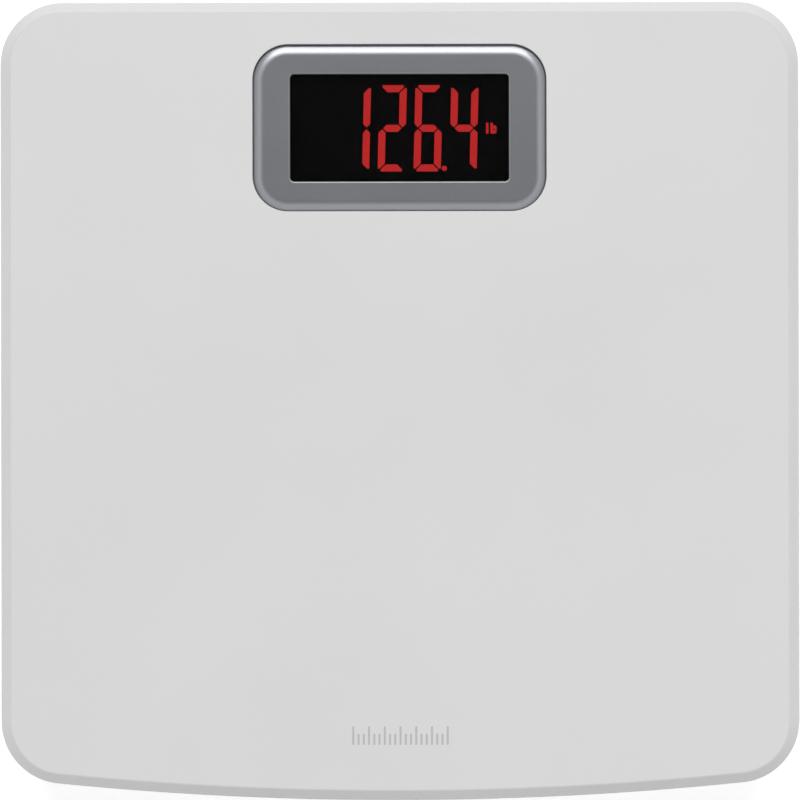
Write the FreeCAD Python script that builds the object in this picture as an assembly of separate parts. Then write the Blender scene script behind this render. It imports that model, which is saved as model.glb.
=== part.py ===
import FreeCAD, Part
import math
import os

# A digital bathroom scale: a moulded platform over a shallow tray, four load-cell feet, a
# display under a smoked lens, a battery pocket with a hinged door and a unit button below.
# Millimetres. The origin is the middle of the footprint, on the floor. +X is the right-hand
# side, +Y the rear, where the display is, and +Z is up.

V = FreeCAD.Vector

# Overall size and plan outline
WIDTH = 305.0
DEPTH = 305.0
CORNER_R = 24.0
FRONT_BOW_R = 1300.0

# Platform shell
PLATE_T = 3.0
SKIRT_T = 3.0
SEAM_Z = 18.0
BEVEL_W = 4.0
BEVEL_DROP = 2.2
BEVEL_BLEND_R = 2.5
BEVEL_EDGE_R = 1.0
RIB_T = 1.6
RIB_PITCH = 30.0
PLATFORM_RIB_H = 6.0

# Base tray
TRAY_BOTTOM_Z = 6.5
TRAY_FLOOR_T = 2.5
TRAY_WALL_T = 2.4
TRAY_TOP_INSET = 0.6
TRAY_BOTTOM_INSET = 6.0
TRAY_EDGE_CHAMFER = 1.6
TRAY_RIB_H = 3.0
SHOULDER_T = 2.0
LIP_H = 3.0
LIP_T = 1.8
LIP_GAP = 0.2

# Feet, load cells and their seats
FOOT_MARGIN = 16.5
FOOT_FRONT_MARGIN = 21.5
PAD_BORDER = 2.5
PAD_T = 2.5
PAD_SINK = 1.0
PAD_FIT = 0.1
PAD_CHAMFER = 0.8
PAD_GROOVE_W = 1.6
PAD_GROOVE_DEPTH = 0.6
PAD_GROOVE_RADII = (7.0, 12.0)
CUP_R = 20.0
CUP_WALL_T = 2.0
CUP_FLOOR_T = 2.0
CUP_EDGE_R = 1.0
CUP_FLANGE_REACH = 2.5
CUP_FLANGE_T = 1.2
CUP_LIFT = 0.3
CUP_GAP = 0.5
CUP_RIB_T = 1.5
CUP_RIBS = 6
CUP_HUB_R = 4.5
COLLAR_GAP = 1.5
COLLAR_T = 2.0
COLLAR_H = 5.0
CELL_SIDE = 34.0
CELL_T = 3.0
CELL_OVER_COLLAR = 2.4
CELL_CORNER_R = 3.0
CELL_SLOT_W = 2.0
CELL_TONGUE_W = 12.0
CELL_FRAME_W = 5.0
CELL_FIT = 0.3
GAUGE_SETBACK = 6.0
GAUGE_LENGTH = 10.0
GAUGE_WIDTH = 5.0
GAUGE_T = 2.0
GAUGE_EDGE_R = 1.0
SEAT_BORDER = 6.0
SEAT_CORNER_R = 4.0
SEAT_ROOF_T = 2.6
SEAT_SKIRT = 0.4
SEAT_RELIEF = 1.5
SEAT_HOOK_W = 6.0
SEAT_HOOK_T = 0.8
SEAT_HOOK_REACH = 0.8
SEAT_HOOK_ROOT = 2.0
SEAT_SCREW_MARGIN = 2.5
SEAT_SCREW_LENGTH = 14.0
SEAT_BOSS_R = 3.5
SEAT_RING_SETBACK = 3.0
SEAT_RING_T = 2.0

# How far moulded features run into the wall that they grow from
SINK = 0.5
# How far a cutting shape runs past the face that it opens
PAST = 1.0

# Screws: shank radius, head radius, head height
HOUSING_SCREW = (1.5, 3.2, 2.2)
SMALL_SCREW = (1.1, 2.2, 1.5)
SCREW_FIT = 0.05
SCREW_CLEARANCE = 0.2
HEAD_CLEARANCE = 0.5
CROSS_WIDTH = 0.8
# Shares of a screw's own size: cross arm, cross depth, head edge and tip
CROSS_ARM = 1.2
CROSS_DEPTH = 0.6
HEAD_EDGE = 0.33
TIP_R = 0.5
HOUSING_SCREW_BITE = 16.0
HOUSING_BOSS_R = 4.0
TRAY_BOSS_R = 5.5
TRAY_BOSS_H = 4.0
SCREW_SEAT_H = 2.0
SIDE_SCREW_INSET = 20.5
SIDE_SCREW_SPACING = 70.0
REAR_SCREW_INSET = 20.5
REAR_SCREW_MARGIN = 16.0
FRONT_SCREW_INSET = 24.5
FRONT_SCREW_SPACING = 120.0
INNER_SCREW_SPACING = 100.0
INNER_SCREW_SETBACK = 31.0

# Display: aperture, bezel, lens and light-emitting module
DISPLAY_MARGIN = 16.35
APERTURE_R = 13.6
BEZEL_SIDE_W = 14.325
BEZEL_END_W = 11.4
BEZEL_GAP = 0.3
BEZEL_RECESS = 0.1
BEZEL_DEPTH = 4.4
BEZEL_WALL_T = 2.0
BEZEL_PLATE_T = 1.4
BEZEL_RIM_W = 2.6
BEZEL_RIM_DROP = 1.2
BEZEL_RIM_BLEND_R = 1.2
BEZEL_BOSS_R = 2.75
BEZEL_BOSS_OFFSET = 4.05
BOARD_SCREW_LENGTH = 9.0
LEDGE_W = 3.0
LEDGE_T = 2.5
COLLAR_WALL_T = 2.5
WINDOW_MARGIN_X = 7.475
WINDOW_MARGIN_Y = 3.95
WINDOW_R = 1.6
WINDOW_CHAMFER = 0.4
WINDOW_CHAMFER_SHARE = 0.99
TAPE_T = 0.15
TAPE_SETBACK = 0.5
LENS_MARGIN = 3.3
LENS_T = 1.8
LENS_GAP = 0.25
LED_MARGIN = 0.6
LED_HEIGHT = 9.2
LED_STANDOFF = 0.5
LED_FOOT_W = 4.0
LED_FOOT_D = 3.0
LED_PIN_R = 0.3
LED_PIN_PITCH = 10.0
LED_PINS_PER_ROW = 6
LED_PIN_ROW_SETBACK = 3.05
LED_PIN_TAIL = 1.2
PIN_HOLE_GAP = 0.15

# Digits
DIGIT_W = 10.45
DIGIT_H = 33.0
DIGIT_SPACE = 3.25
DIGIT_LEAN = 1.4
DIGITS_SHIFT = -2.75
SEGMENT_T = 2.7
SEGMENT_GAP = 0.5
SEGMENT_CLIP = 0.8
SEGMENT_DEPTH = 0.8
POINT_R = 1.0
POINT_OFFSET_X = 0.95
POINT_OFFSET_Y = 1.2
UNIT_MARK_OFFSET = 10.45
UNIT_MARK_H = 4.2
UNIT_STEM_W = 0.95
UNIT_BOWL_W = 2.35
UNIT_BOWL_H = 3.2
UNIT_BOWL_R = 0.8
UNIT_EYE_R = 0.3
UNIT_MARK_GAP = 0.75
LIT_DIGITS = ("", "bc", "abged", "afgecd", "fgbc")
POINT_DIGIT = 3

# Main board and what is soldered under it
BOARD_LAP = 4.1
BOARD_R = 2.0
BOARD_T = 1.6
CHIP = (-12.0, 4.0, 12.0, 12.0, 1.6)
CHIP_CHAMFER = 0.6
CRYSTAL = (-12.0, -9.0, 11.0, 4.6, 3.5)
CAPACITORS = ((16.0, 8.0), (-33.0, -5.0))
CAPACITOR_R = 3.15
CAPACITOR_H = 7.0
CAPACITOR_EDGE_R = 0.5
RESISTOR = (2.0, 1.25, 0.6)
RESISTOR_ROW = (-32.0, 11.0, 3.0, 6)
SOCKET_L = 8.0
SOCKET_H = 5.5
SOCKET_WALL = 1.0
CELL_SOCKET_W = 9.6
BATTERY_SOCKET_W = 7.2
CELL_SOCKET_SETBACK = 8.5
PLUG_FIT = 0.1
PLUG_STAND_OUT = 2.0

# Unit button and its switch
BUTTON_X = 30.0
BUTTON_Y = -9.4
BUTTON_TRAVEL = 0.5
BUTTON_CAP_R = 4.3
BUTTON_EDGE_R = 0.6
BUTTON_GAP = 0.3
BUTTON_FLANGE_R = 5.5
BUTTON_FLANGE_T = 1.2
BUTTON_RECESS = 0.5
BUTTON_PLUNGER_R = 2.5
BUTTON_GUIDE_GAP = 0.5
BUTTON_GUIDE_T = 1.5
BUTTON_GUIDE_H = 7.0
SWITCH_SIDE = 6.0
SWITCH_H = 3.5
STEM_R = 1.7
STEM_OUT = 1.5
STEM_IN = 0.9
STEM_GAP = 0.2

# Battery, its pocket and its door
POCKET_TO_BOARD = 12.5
BATTERY_W = 26.5
BATTERY_L = 46.4
BATTERY_T = 17.5
BATTERY_EDGE_R = 1.2
TERMINAL_R = 3.0
TERMINAL_H = 2.6
TERMINAL_SPACING = 12.7
SNAP_W = 25.0
SNAP_D = 12.0
SNAP_T = 2.5
SNAP_CORNER_R = 4.0
POCKET_GAP = 0.5
POCKET_END_GAP = 0.8
POCKET_WALL_T = 2.0
POCKET_HEADROOM = 1.0
LEAD_SLOT_W = 8.0
LEAD_SLOT_H = 10.0
DOOR_T = 2.0
DOOR_GAP = 0.3
DOOR_TO_BATTERY = 0.5
HINGE_R = 2.0
HINGE_PIN_R = 1.0
HINGE_PIN_FIT = 0.1
HINGE_PIN_L = 1.5
HINGE_ROOM = 5.3
LATCH_W = 12.0
LATCH_L = 14.0
LATCH_SLOT_W = 1.0
GRIP_LINE_R = 0.5
GRIP_LINE_PITCH = 2.0
GRIP_LINE_SETBACK = 3.0
GRIP_LINES = 4
GRIP_LINE_L = 8.0
LATCH_NOTCH_W = 16.0
LATCH_NOTCH_D = 9.0
LATCH_NOTCH_DEPTH = 1.0

# Rating label under the tray
LABEL_W = 80.0
LABEL_D = 40.0
LABEL_R = 3.0
LABEL_T = 0.15
LABEL_RECESS = 0.3
LABEL_GAP = 0.5
LABEL_SETBACK = 80.0

# Leads
LEAD_R = 0.6
LEAD_PITCH = 1.4
BATTERY_LEAD_X = 1.25
LEAD_ARC_SHARE = 0.45
LEAD_OVER_RIBS = 0.2
LEAD_POST_R = 1.2
LEAD_POST_REACH = 4.2
LEAD_POST_H = 6.0

# Heights that follow from the sizes above. The battery pocket sets the tread's height.
FLOOR_Z = TRAY_BOTTOM_Z + TRAY_FLOOR_T
DOOR_TOP_Z = TRAY_BOTTOM_Z + DOOR_T
BATTERY_Z = DOOR_TOP_Z + DOOR_TO_BATTERY
BATTERY_MID_Z = BATTERY_Z + BATTERY_T / 2
POCKET_ROOF_Z = BATTERY_Z + BATTERY_T + POCKET_GAP
RIB_UNDER_Z = POCKET_ROOF_Z + POCKET_WALL_T + POCKET_HEADROOM
PLATE_UNDER_Z = RIB_UNDER_Z + PLATFORM_RIB_H
TREAD_Z = PLATE_UNDER_Z + PLATE_T
TRAY_BOSS_TOP_Z = FLOOR_Z + TRAY_BOSS_H
SCREW_SEAT_Z = FLOOR_Z + SCREW_SEAT_H

CUP_BOTTOM_Z = PAD_T - PAD_SINK
CUP_FLANGE_Z = FLOOR_Z + CUP_LIFT
CELL_Z = FLOOR_Z + COLLAR_H + CELL_OVER_COLLAR
CELL_TOP_Z = CELL_Z + CELL_T
SEAT_BOTTOM_Z = CELL_Z - SEAT_SKIRT
SEAT_TOP_Z = CELL_TOP_Z + SEAT_ROOF_T
SEAT_SCREW_TOP_Z = SEAT_BOTTOM_Z + SEAT_SCREW_LENGTH
LEAD_START_Z = SEAT_BOTTOM_Z - LEAD_R - LEAD_OVER_RIBS

BEZEL_TOP_Z = TREAD_Z - BEZEL_RECESS
BEZEL_UNDER_Z = BEZEL_TOP_Z - BEZEL_PLATE_T
LEDGE_Z = BEZEL_TOP_Z - BEZEL_DEPTH
LENS_TOP_Z = BEZEL_UNDER_Z - TAPE_T
LENS_UNDER_Z = LENS_TOP_Z - LENS_T
LED_TOP_Z = LENS_UNDER_Z - LENS_GAP
LED_BOTTOM_Z = LED_TOP_Z - LED_HEIGHT
BOARD_TOP_Z = LED_BOTTOM_Z - LED_STANDOFF
BOARD_Z = BOARD_TOP_Z - BOARD_T
SOCKET_Z = BOARD_Z - SOCKET_H
PLUG_MID_Z = BOARD_Z - SOCKET_H / 2
SWITCH_Z = BOARD_Z - SWITCH_H
BUTTON_TOP_Z = SWITCH_Z - STEM_OUT

# Widths and depths that follow, from the digits outwards
DIGIT_PITCH = DIGIT_W + DIGIT_SPACE
FIRST_DIGIT_X = DIGITS_SHIFT - (len(LIT_DIGITS) - 1) / 2 * DIGIT_PITCH
LAST_DIGIT_X = FIRST_DIGIT_X + (len(LIT_DIGITS) - 1) * DIGIT_PITCH
WINDOW_W = len(LIT_DIGITS) * DIGIT_PITCH + 2 * WINDOW_MARGIN_X
WINDOW_D = DIGIT_H + 2 * WINDOW_MARGIN_Y
LENS_W = WINDOW_W + 2 * LENS_MARGIN
LENS_D = WINDOW_D + 2 * LENS_MARGIN
LED_W = WINDOW_W + 2 * LED_MARGIN
LED_D = WINDOW_D + 2 * LED_MARGIN
APERTURE_W = WINDOW_W + 2 * BEZEL_SIDE_W
APERTURE_D = WINDOW_D + 2 * BEZEL_END_W
BEZEL_W = APERTURE_W - 2 * BEZEL_GAP
BEZEL_D = APERTURE_D - 2 * BEZEL_GAP
BEZEL_R = APERTURE_R - BEZEL_GAP
BEZEL_BOSS_X = LENS_W / 2 + BEZEL_BOSS_OFFSET
BEZEL_BOSS_Y = LENS_D / 2 - BEZEL_BOSS_OFFSET
OPENING_W = APERTURE_W - 2 * LEDGE_W
OPENING_D = APERTURE_D - 2 * LEDGE_W
OPENING_R = APERTURE_R - LEDGE_W
BOARD_W = OPENING_W + 2 * BOARD_LAP
BOARD_D = OPENING_D + 2 * BOARD_LAP
CELL_SOCKET_Y = BEZEL_BOSS_Y - CELL_SOCKET_SETBACK
SEAT_SIDE = CELL_SIDE + 2 * SEAT_BORDER
SEAT_RING_R = SEAT_SIDE / 2 - SEAT_RING_SETBACK
SEAT_SCREW_OFFSET = CELL_SIDE / 2 + SEAT_SCREW_MARGIN
GAUGE_OFFSET = CELL_SIDE / 2 - GAUGE_SETBACK
PAD_R = CUP_R - PAD_BORDER
CUP_FLANGE_R = CUP_R + CUP_FLANGE_REACH
POCKET_W = BATTERY_W + 2 * POCKET_GAP
LIP_INSET = SKIRT_T + LIP_GAP

# Places in plan that follow: the feet from the edges, the rest from the display forwards
FOOT_X = WIDTH / 2 - FOOT_MARGIN - CUP_R
FOOT_REAR_Y = DEPTH / 2 - FOOT_MARGIN - CUP_R
FOOT_FRONT_Y = FOOT_FRONT_MARGIN + CUP_R - DEPTH / 2
DISPLAY_Y = DEPTH / 2 - DISPLAY_MARGIN - APERTURE_D / 2
BUTTON_CENTRE = (BUTTON_X, DISPLAY_Y + BUTTON_Y)
POCKET_REAR_Y = DISPLAY_Y - BOARD_D / 2 - POCKET_TO_BOARD
HINGE_Y = POCKET_REAR_Y - DOOR_GAP - HINGE_R
SNAP_Y = POCKET_REAR_Y - HINGE_ROOM - SNAP_T
BATTERY_REAR_Y = SNAP_Y - TERMINAL_H
BATTERY_FRONT_Y = BATTERY_REAR_Y - BATTERY_L
POCKET_FRONT_Y = BATTERY_FRONT_Y - POCKET_END_GAP
LABEL_Y = POCKET_FRONT_Y - LABEL_SETBACK

CORNERS = {
    "front_left": (-1, -1),
    "front_right": (1, -1),
    "rear_left": (-1, 1),
    "rear_right": (1, 1),
}


def foot_centre(corner):
    """Plan position of a foot's axis."""
    side, end = CORNERS[corner]
    return side * FOOT_X, FOOT_REAR_Y if end > 0 else FOOT_FRONT_Y


def screw_centres():
    """Plan positions of the screws that join the tray to the platform."""
    side_x = WIDTH / 2 - SIDE_SCREW_INSET
    side_y = (FOOT_REAR_Y + FOOT_FRONT_Y) / 2
    half_spacing = SIDE_SCREW_SPACING / 2
    rear_x = APERTURE_W / 2 + REAR_SCREW_MARGIN
    right_hand = (
        (side_x, side_y + half_spacing),
        (side_x, side_y - half_spacing),
        (rear_x, DEPTH / 2 - REAR_SCREW_INSET),
        (FRONT_SCREW_SPACING / 2, FRONT_SCREW_INSET - DEPTH / 2),
        (INNER_SCREW_SPACING / 2, POCKET_FRONT_Y - INNER_SCREW_SETBACK),
    )
    return [(side * x, y) for x, y in right_hand for side in (-1, 1)]


def seat_screw_centres(corner):
    """Two screws hold each cell seat, on the diagonal that crosses the platform's corner."""
    x, y = foot_centre(corner)
    side, end = CORNERS[corner]
    step = SEAT_SCREW_OFFSET
    return [(x + side * step, y - end * step), (x - side * step, y + end * step)]


def board_screw_centres():
    """The bezel's four bosses, which the board is screwed to."""
    return [(sx * BEZEL_BOSS_X, DISPLAY_Y + sy * BEZEL_BOSS_Y) for sx in (-1, 1) for sy in (-1, 1)]


# Basic shapes


def arc(cx, cy, r, start, end, z):
    """Circular arc in plan, from one angle in degrees to another."""
    points = []
    for angle in (start, (start + end) / 2, end):
        turn = math.radians(angle)
        points.append(V(cx + r * math.cos(turn), cy + r * math.sin(turn), z))
    return Part.Arc(*points).toShape()


def closed_wire(arcs):
    """Joins arcs, given in order, with straight lines wherever their ends are apart."""
    edges = []
    for this, following in zip(arcs, arcs[1:] + arcs[:1]):
        edges.append(this)
        gap_start = this.valueAt(this.LastParameter)
        gap_end = following.valueAt(following.FirstParameter)
        if gap_start.distanceToPoint(gap_end) > 1e-6:
            edges.append(Part.LineSegment(gap_start, gap_end).toShape())
    return Part.Wire(edges)


def outline(inset, z):
    """The scale's plan outline, moved inwards: straight rear and sides, bowed front."""
    cx = WIDTH / 2 - CORNER_R
    rear_cy = DEPTH / 2 - CORNER_R
    bow_cy = FRONT_BOW_R - DEPTH / 2
    front_cy = bow_cy - math.sqrt((FRONT_BOW_R - CORNER_R) ** 2 - cx ** 2)
    r = CORNER_R - inset
    tilt = math.degrees(math.asin(cx / (FRONT_BOW_R - CORNER_R)))
    return closed_wire([
        arc(cx, rear_cy, r, 0, 90, z),
        arc(-cx, rear_cy, r, 90, 180, z),
        arc(-cx, front_cy, r, 180, 270 - tilt, z),
        arc(0, bow_cy, FRONT_BOW_R - inset, 270 - tilt, 270 + tilt, z),
        arc(cx, front_cy, r, 270 + tilt, 360, z),
    ])


def slab(inset, z0, z1):
    """Straight-sided slab with the scale's plan outline."""
    return Part.Face(outline(inset, z0)).extrude(V(0, 0, z1 - z0))


def tapered_slab(*sections):
    """Slab through several outlines, each given as an inset and a height."""
    return Part.makeLoft([outline(inset, z) for inset, z in sections], True, True)


def rounded_slab(x, y, w, d, r, z0, z1):
    """Rectangular slab with rounded corners, centred on x, y."""
    cx, cy = w / 2 - r, d / 2 - r
    wire = closed_wire([
        arc(x + cx, y + cy, r, 0, 90, z0),
        arc(x - cx, y + cy, r, 90, 180, z0),
        arc(x - cx, y - cy, r, 180, 270, z0),
        arc(x + cx, y - cy, r, 270, 360, z0),
    ])
    return Part.Face(wire).extrude(V(0, 0, z1 - z0))


def block(x, y, w, d, z0, z1):
    """Box centred on x, y in plan."""
    return Part.makeBox(w, d, z1 - z0, V(x - w / 2, y - d / 2, z0))


def rod(x, y, r, z0, z1):
    """Upright cylinder."""
    return Part.makeCylinder(r, z1 - z0, V(x, y, z0))


def ring(x, y, outer_r, inner_r, z0, z1):
    """Upright tube."""
    return rod(x, y, outer_r, z0, z1).cut(rod(x, y, inner_r, z0, z1))


def united(shapes):
    """One solid from overlapping or touching shapes."""
    return single(shapes[0].multiFuse(shapes[1:]).removeSplitter())


def single(shape):
    """The shape's only solid, or all of them as a group."""
    solids = shape.Solids
    return solids[0] if len(solids) == 1 else Part.makeCompound(solids)


def edges_at(shape, z):
    """Edges that lie flat at one height."""
    return [e for e in shape.Edges if abs(e.BoundBox.ZMin - z) < 1e-4 and abs(e.BoundBox.ZMax - z) < 1e-4]


def edged(shape, z, drop, width, inner_r, outer_r):
    """Bevels the rim at height z, then rounds the bevel's upper and lower edges."""
    shape = shape.makeChamfer(drop, width, edges_at(shape, z))
    shape = shape.makeFillet(inner_r, edges_at(shape, z))
    if outer_r > 0:
        shape = shape.makeFillet(outer_r, edges_at(shape, z - drop))
    return shape


def rib_grid(inset, z0, z1):
    """Crossing ribs under or over a floor, trimmed to the outline."""
    ribs = []
    for i in range(-int(WIDTH / 2 / RIB_PITCH), int(WIDTH / 2 / RIB_PITCH) + 1):
        ribs.append(block(i * RIB_PITCH, 0, RIB_T, DEPTH, z0, z1))
    for i in range(-int(DEPTH / 2 / RIB_PITCH), int(DEPTH / 2 / RIB_PITCH) + 1):
        ribs.append(block(0, i * RIB_PITCH, WIDTH, RIB_T, z0, z1))
    return united(ribs).common(slab(inset, z0, z1))


def screw(x, y, seat_z, length, size):
    """Pan-head screw driven upwards: the head is below seat_z and has a cross recess."""
    shank_r, head_r, head_h = size
    head = rod(x, y, head_r, seat_z - head_h, seat_z)
    head = head.makeFillet(head_h * HEAD_EDGE, edges_at(head, seat_z - head_h))
    cross_z = seat_z - head_h * (1 - CROSS_DEPTH)
    arm = head_r * CROSS_ARM
    head = head.cut(block(x, y, arm, CROSS_WIDTH, seat_z - head_h, cross_z))
    head = head.cut(block(x, y, CROSS_WIDTH, arm, seat_z - head_h, cross_z))
    tip = Part.makeCone(shank_r, shank_r * TIP_R, shank_r, V(x, y, seat_z + length - shank_r))
    return united([head, rod(x, y, shank_r, seat_z, seat_z + length - shank_r), tip])


# Platform and tray


def display_collar():
    """Wall round the display opening, down to the board, with the ledge that the bezel sits on."""
    ledge = rounded_slab(0, DISPLAY_Y, APERTURE_W + 2 * COLLAR_WALL_T, APERTURE_D + 2 * COLLAR_WALL_T,
                         APERTURE_R + COLLAR_WALL_T, LEDGE_Z - LEDGE_T, PLATE_UNDER_Z + SINK)
    wall = rounded_slab(0, DISPLAY_Y, OPENING_W + 2 * COLLAR_WALL_T, OPENING_D + 2 * COLLAR_WALL_T,
                        OPENING_R + COLLAR_WALL_T, BOARD_TOP_Z, LEDGE_Z)
    return [ledge, wall]


def platform_shell():
    """The white top moulding: tread plate, skirt, ribs, display opening, rings and bosses."""
    shell = edged(slab(0, SEAM_Z, TREAD_Z), TREAD_Z, BEVEL_DROP, BEVEL_W, BEVEL_BLEND_R, BEVEL_EDGE_R)
    shell = shell.cut(slab(SKIRT_T, SEAM_Z, PLATE_UNDER_Z))
    added = [shell, rib_grid(SKIRT_T / 2, RIB_UNDER_Z, PLATE_UNDER_Z + SINK)]
    added += display_collar()
    holes = [
        rounded_slab(0, DISPLAY_Y, APERTURE_W, APERTURE_D, APERTURE_R, LEDGE_Z, TREAD_Z + PAST),
        rounded_slab(0, DISPLAY_Y, OPENING_W, OPENING_D, OPENING_R, BOARD_TOP_Z - PAST, TREAD_Z),
    ]
    for x, y in screw_centres():
        added.append(rod(x, y, HOUSING_BOSS_R, TRAY_BOSS_TOP_Z, PLATE_UNDER_Z + SINK))
        pilot_top = SCREW_SEAT_Z + HOUSING_SCREW_BITE + PAST
        holes.append(rod(x, y, HOUSING_SCREW[0] + SCREW_FIT, TRAY_BOSS_TOP_Z - PAST, pilot_top))
    for corner in CORNERS:
        x, y = foot_centre(corner)
        added.append(ring(x, y, SEAT_RING_R, SEAT_RING_R - SEAT_RING_T, SEAT_TOP_Z, PLATE_UNDER_Z + SINK))
        for sx, sy in seat_screw_centres(corner):
            added.append(rod(sx, sy, SEAT_BOSS_R, SEAT_TOP_Z, PLATE_UNDER_Z + SINK))
            holes.append(rod(sx, sy, SMALL_SCREW[0] + SCREW_FIT, SEAT_TOP_Z - PAST, SEAT_SCREW_TOP_Z + PAST))
    return single(united(added).cut(Part.makeCompound(holes)))


def tray_body():
    """The tray's outside: chamfered foot, leaning wall, shoulder and lip."""
    outside = tapered_slab(
        (TRAY_BOTTOM_INSET + TRAY_EDGE_CHAMFER, TRAY_BOTTOM_Z),
        (TRAY_BOTTOM_INSET, TRAY_BOTTOM_Z + TRAY_EDGE_CHAMFER),
        (TRAY_TOP_INSET, SEAM_Z),
    )
    lip = slab(LIP_INSET, SEAM_Z - SHOULDER_T, SEAM_Z + LIP_H)
    inner_inset = LIP_INSET + LIP_T
    upper_room = slab(inner_inset, SEAM_Z - SHOULDER_T, SEAM_Z + LIP_H + PAST)
    lower_room = tapered_slab((TRAY_BOTTOM_INSET + TRAY_WALL_T, FLOOR_Z), (inner_inset, SEAM_Z - SHOULDER_T))
    return united([outside, lip]).cut(upper_room).cut(lower_room)


def pocket_solids():
    """The battery pocket's block, and the rooms cut from it and from the floor."""
    mid_y = (POCKET_FRONT_Y + POCKET_REAR_Y) / 2
    length = POCKET_REAR_Y - POCKET_FRONT_Y
    walls = block(0, mid_y, POCKET_W + 2 * POCKET_WALL_T, length + 2 * POCKET_WALL_T,
                  FLOOR_Z - SINK, POCKET_ROOF_Z + POCKET_WALL_T)
    room = block(0, mid_y, POCKET_W, length, TRAY_BOTTOM_Z, POCKET_ROOF_Z)
    slot = block(0, POCKET_REAR_Y + POCKET_WALL_T / 2, LEAD_SLOT_W, POCKET_WALL_T + 2 * PAST,
                 BATTERY_MID_Z - LEAD_SLOT_H / 2, BATTERY_MID_Z + LEAD_SLOT_H / 2)
    pin_l = HINGE_PIN_L + HINGE_PIN_FIT
    pin_hole = Part.makeCylinder(HINGE_PIN_R + HINGE_PIN_FIT, POCKET_W + 2 * pin_l,
                                 V(-POCKET_W / 2 - pin_l, HINGE_Y, DOOR_TOP_Z), V(1, 0, 0))
    notch = block(0, POCKET_FRONT_Y - LATCH_NOTCH_D / 2, LATCH_NOTCH_W, LATCH_NOTCH_D,
                  TRAY_BOTTOM_Z, TRAY_BOTTOM_Z + LATCH_NOTCH_DEPTH)
    return walls, [room, slot, pin_hole, notch]


def lead_posts():
    """Pairs of posts on the tray's floor, one each side of the long leads."""
    posts = []
    post_top = FLOOR_Z + LEAD_POST_H
    route = front_lead_route(0)
    for start, end in ((route[2], route[3]), (route[3], route[4])):
        middle = (start + end) / 2
        along = (end - start).normalize()
        across = V(-along.y, along.x, 0).normalize() * LEAD_POST_REACH
        for place in (middle + across, middle - across):
            for side in (-1, 1):
                posts.append(rod(side * place.x, place.y, LEAD_POST_R, FLOOR_Z - SINK, post_top))
    return posts


def base_tray():
    """The white bottom moulding: floor, wall, lip, ribs, foot holes, bosses and battery pocket."""
    pocket, holes = pocket_solids()
    bx, by = BUTTON_CENTRE
    guide_r = BUTTON_FLANGE_R + BUTTON_GUIDE_GAP
    guide_top = FLOOR_Z + BUTTON_GUIDE_H
    added = [tray_body(), pocket]
    added.append(rod(bx, by, guide_r + BUTTON_GUIDE_T, FLOOR_Z - SINK, guide_top))
    added.append(rib_grid(TRAY_BOTTOM_INSET, FLOOR_Z - SINK, FLOOR_Z + TRAY_RIB_H))
    added += lead_posts()
    holes.append(rod(bx, by, guide_r, FLOOR_Z, guide_top))
    holes.append(rod(bx, by, BUTTON_CAP_R + BUTTON_GAP, TRAY_BOTTOM_Z, FLOOR_Z))
    for x, y in screw_centres():
        added.append(rod(x, y, TRAY_BOSS_R, FLOOR_Z - SINK, TRAY_BOSS_TOP_Z))
        holes.append(rod(x, y, HOUSING_SCREW[0] + SCREW_CLEARANCE, SCREW_SEAT_Z, TRAY_BOSS_TOP_Z))
        holes.append(rod(x, y, HOUSING_SCREW[1] + HEAD_CLEARANCE, TRAY_BOTTOM_Z, SCREW_SEAT_Z))
    collar_r = CUP_FLANGE_R + COLLAR_GAP
    for corner in CORNERS:
        x, y = foot_centre(corner)
        added.append(rod(x, y, collar_r + COLLAR_T, FLOOR_Z - SINK, FLOOR_Z + COLLAR_H))
        holes.append(rod(x, y, collar_r, FLOOR_Z, FLOOR_Z + COLLAR_H))
        holes.append(rod(x, y, CUP_R + CUP_GAP, TRAY_BOTTOM_Z, FLOOR_Z))
    recess_w, recess_d = LABEL_W + 2 * LABEL_GAP, LABEL_D + 2 * LABEL_GAP
    holes.append(rounded_slab(0, LABEL_Y, recess_w, recess_d, LABEL_R + LABEL_GAP,
                              TRAY_BOTTOM_Z, TRAY_BOTTOM_Z + LABEL_RECESS))
    return single(united(added).cut(Part.makeCompound(holes)))


def rating_label():
    """Thin foil label stuck in its recess under the tray."""
    top = TRAY_BOTTOM_Z + LABEL_RECESS
    return rounded_slab(0, LABEL_Y, LABEL_W, LABEL_D, LABEL_R, top - LABEL_T, top)


def housing_screws():
    """The screws that hold the tray to the platform, seen in deep holes from below."""
    return Part.makeCompound([screw(x, y, SCREW_SEAT_Z, HOUSING_SCREW_BITE, HOUSING_SCREW)
                              for x, y in screw_centres()])


# Feet and load cells


def foot_pad(corner):
    """Rubber disc glued into the foot, with two ring grooves in its tread."""
    x, y = foot_centre(corner)
    pad = rod(x, y, PAD_R, 0, PAD_T)
    pad = pad.makeChamfer(PAD_CHAMFER, edges_at(pad, 0))
    for r in PAD_GROOVE_RADII:
        pad = pad.cut(ring(x, y, r + PAD_GROOVE_W / 2, r - PAD_GROOVE_W / 2, 0, PAD_GROOVE_DEPTH))
    return single(pad)


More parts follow.
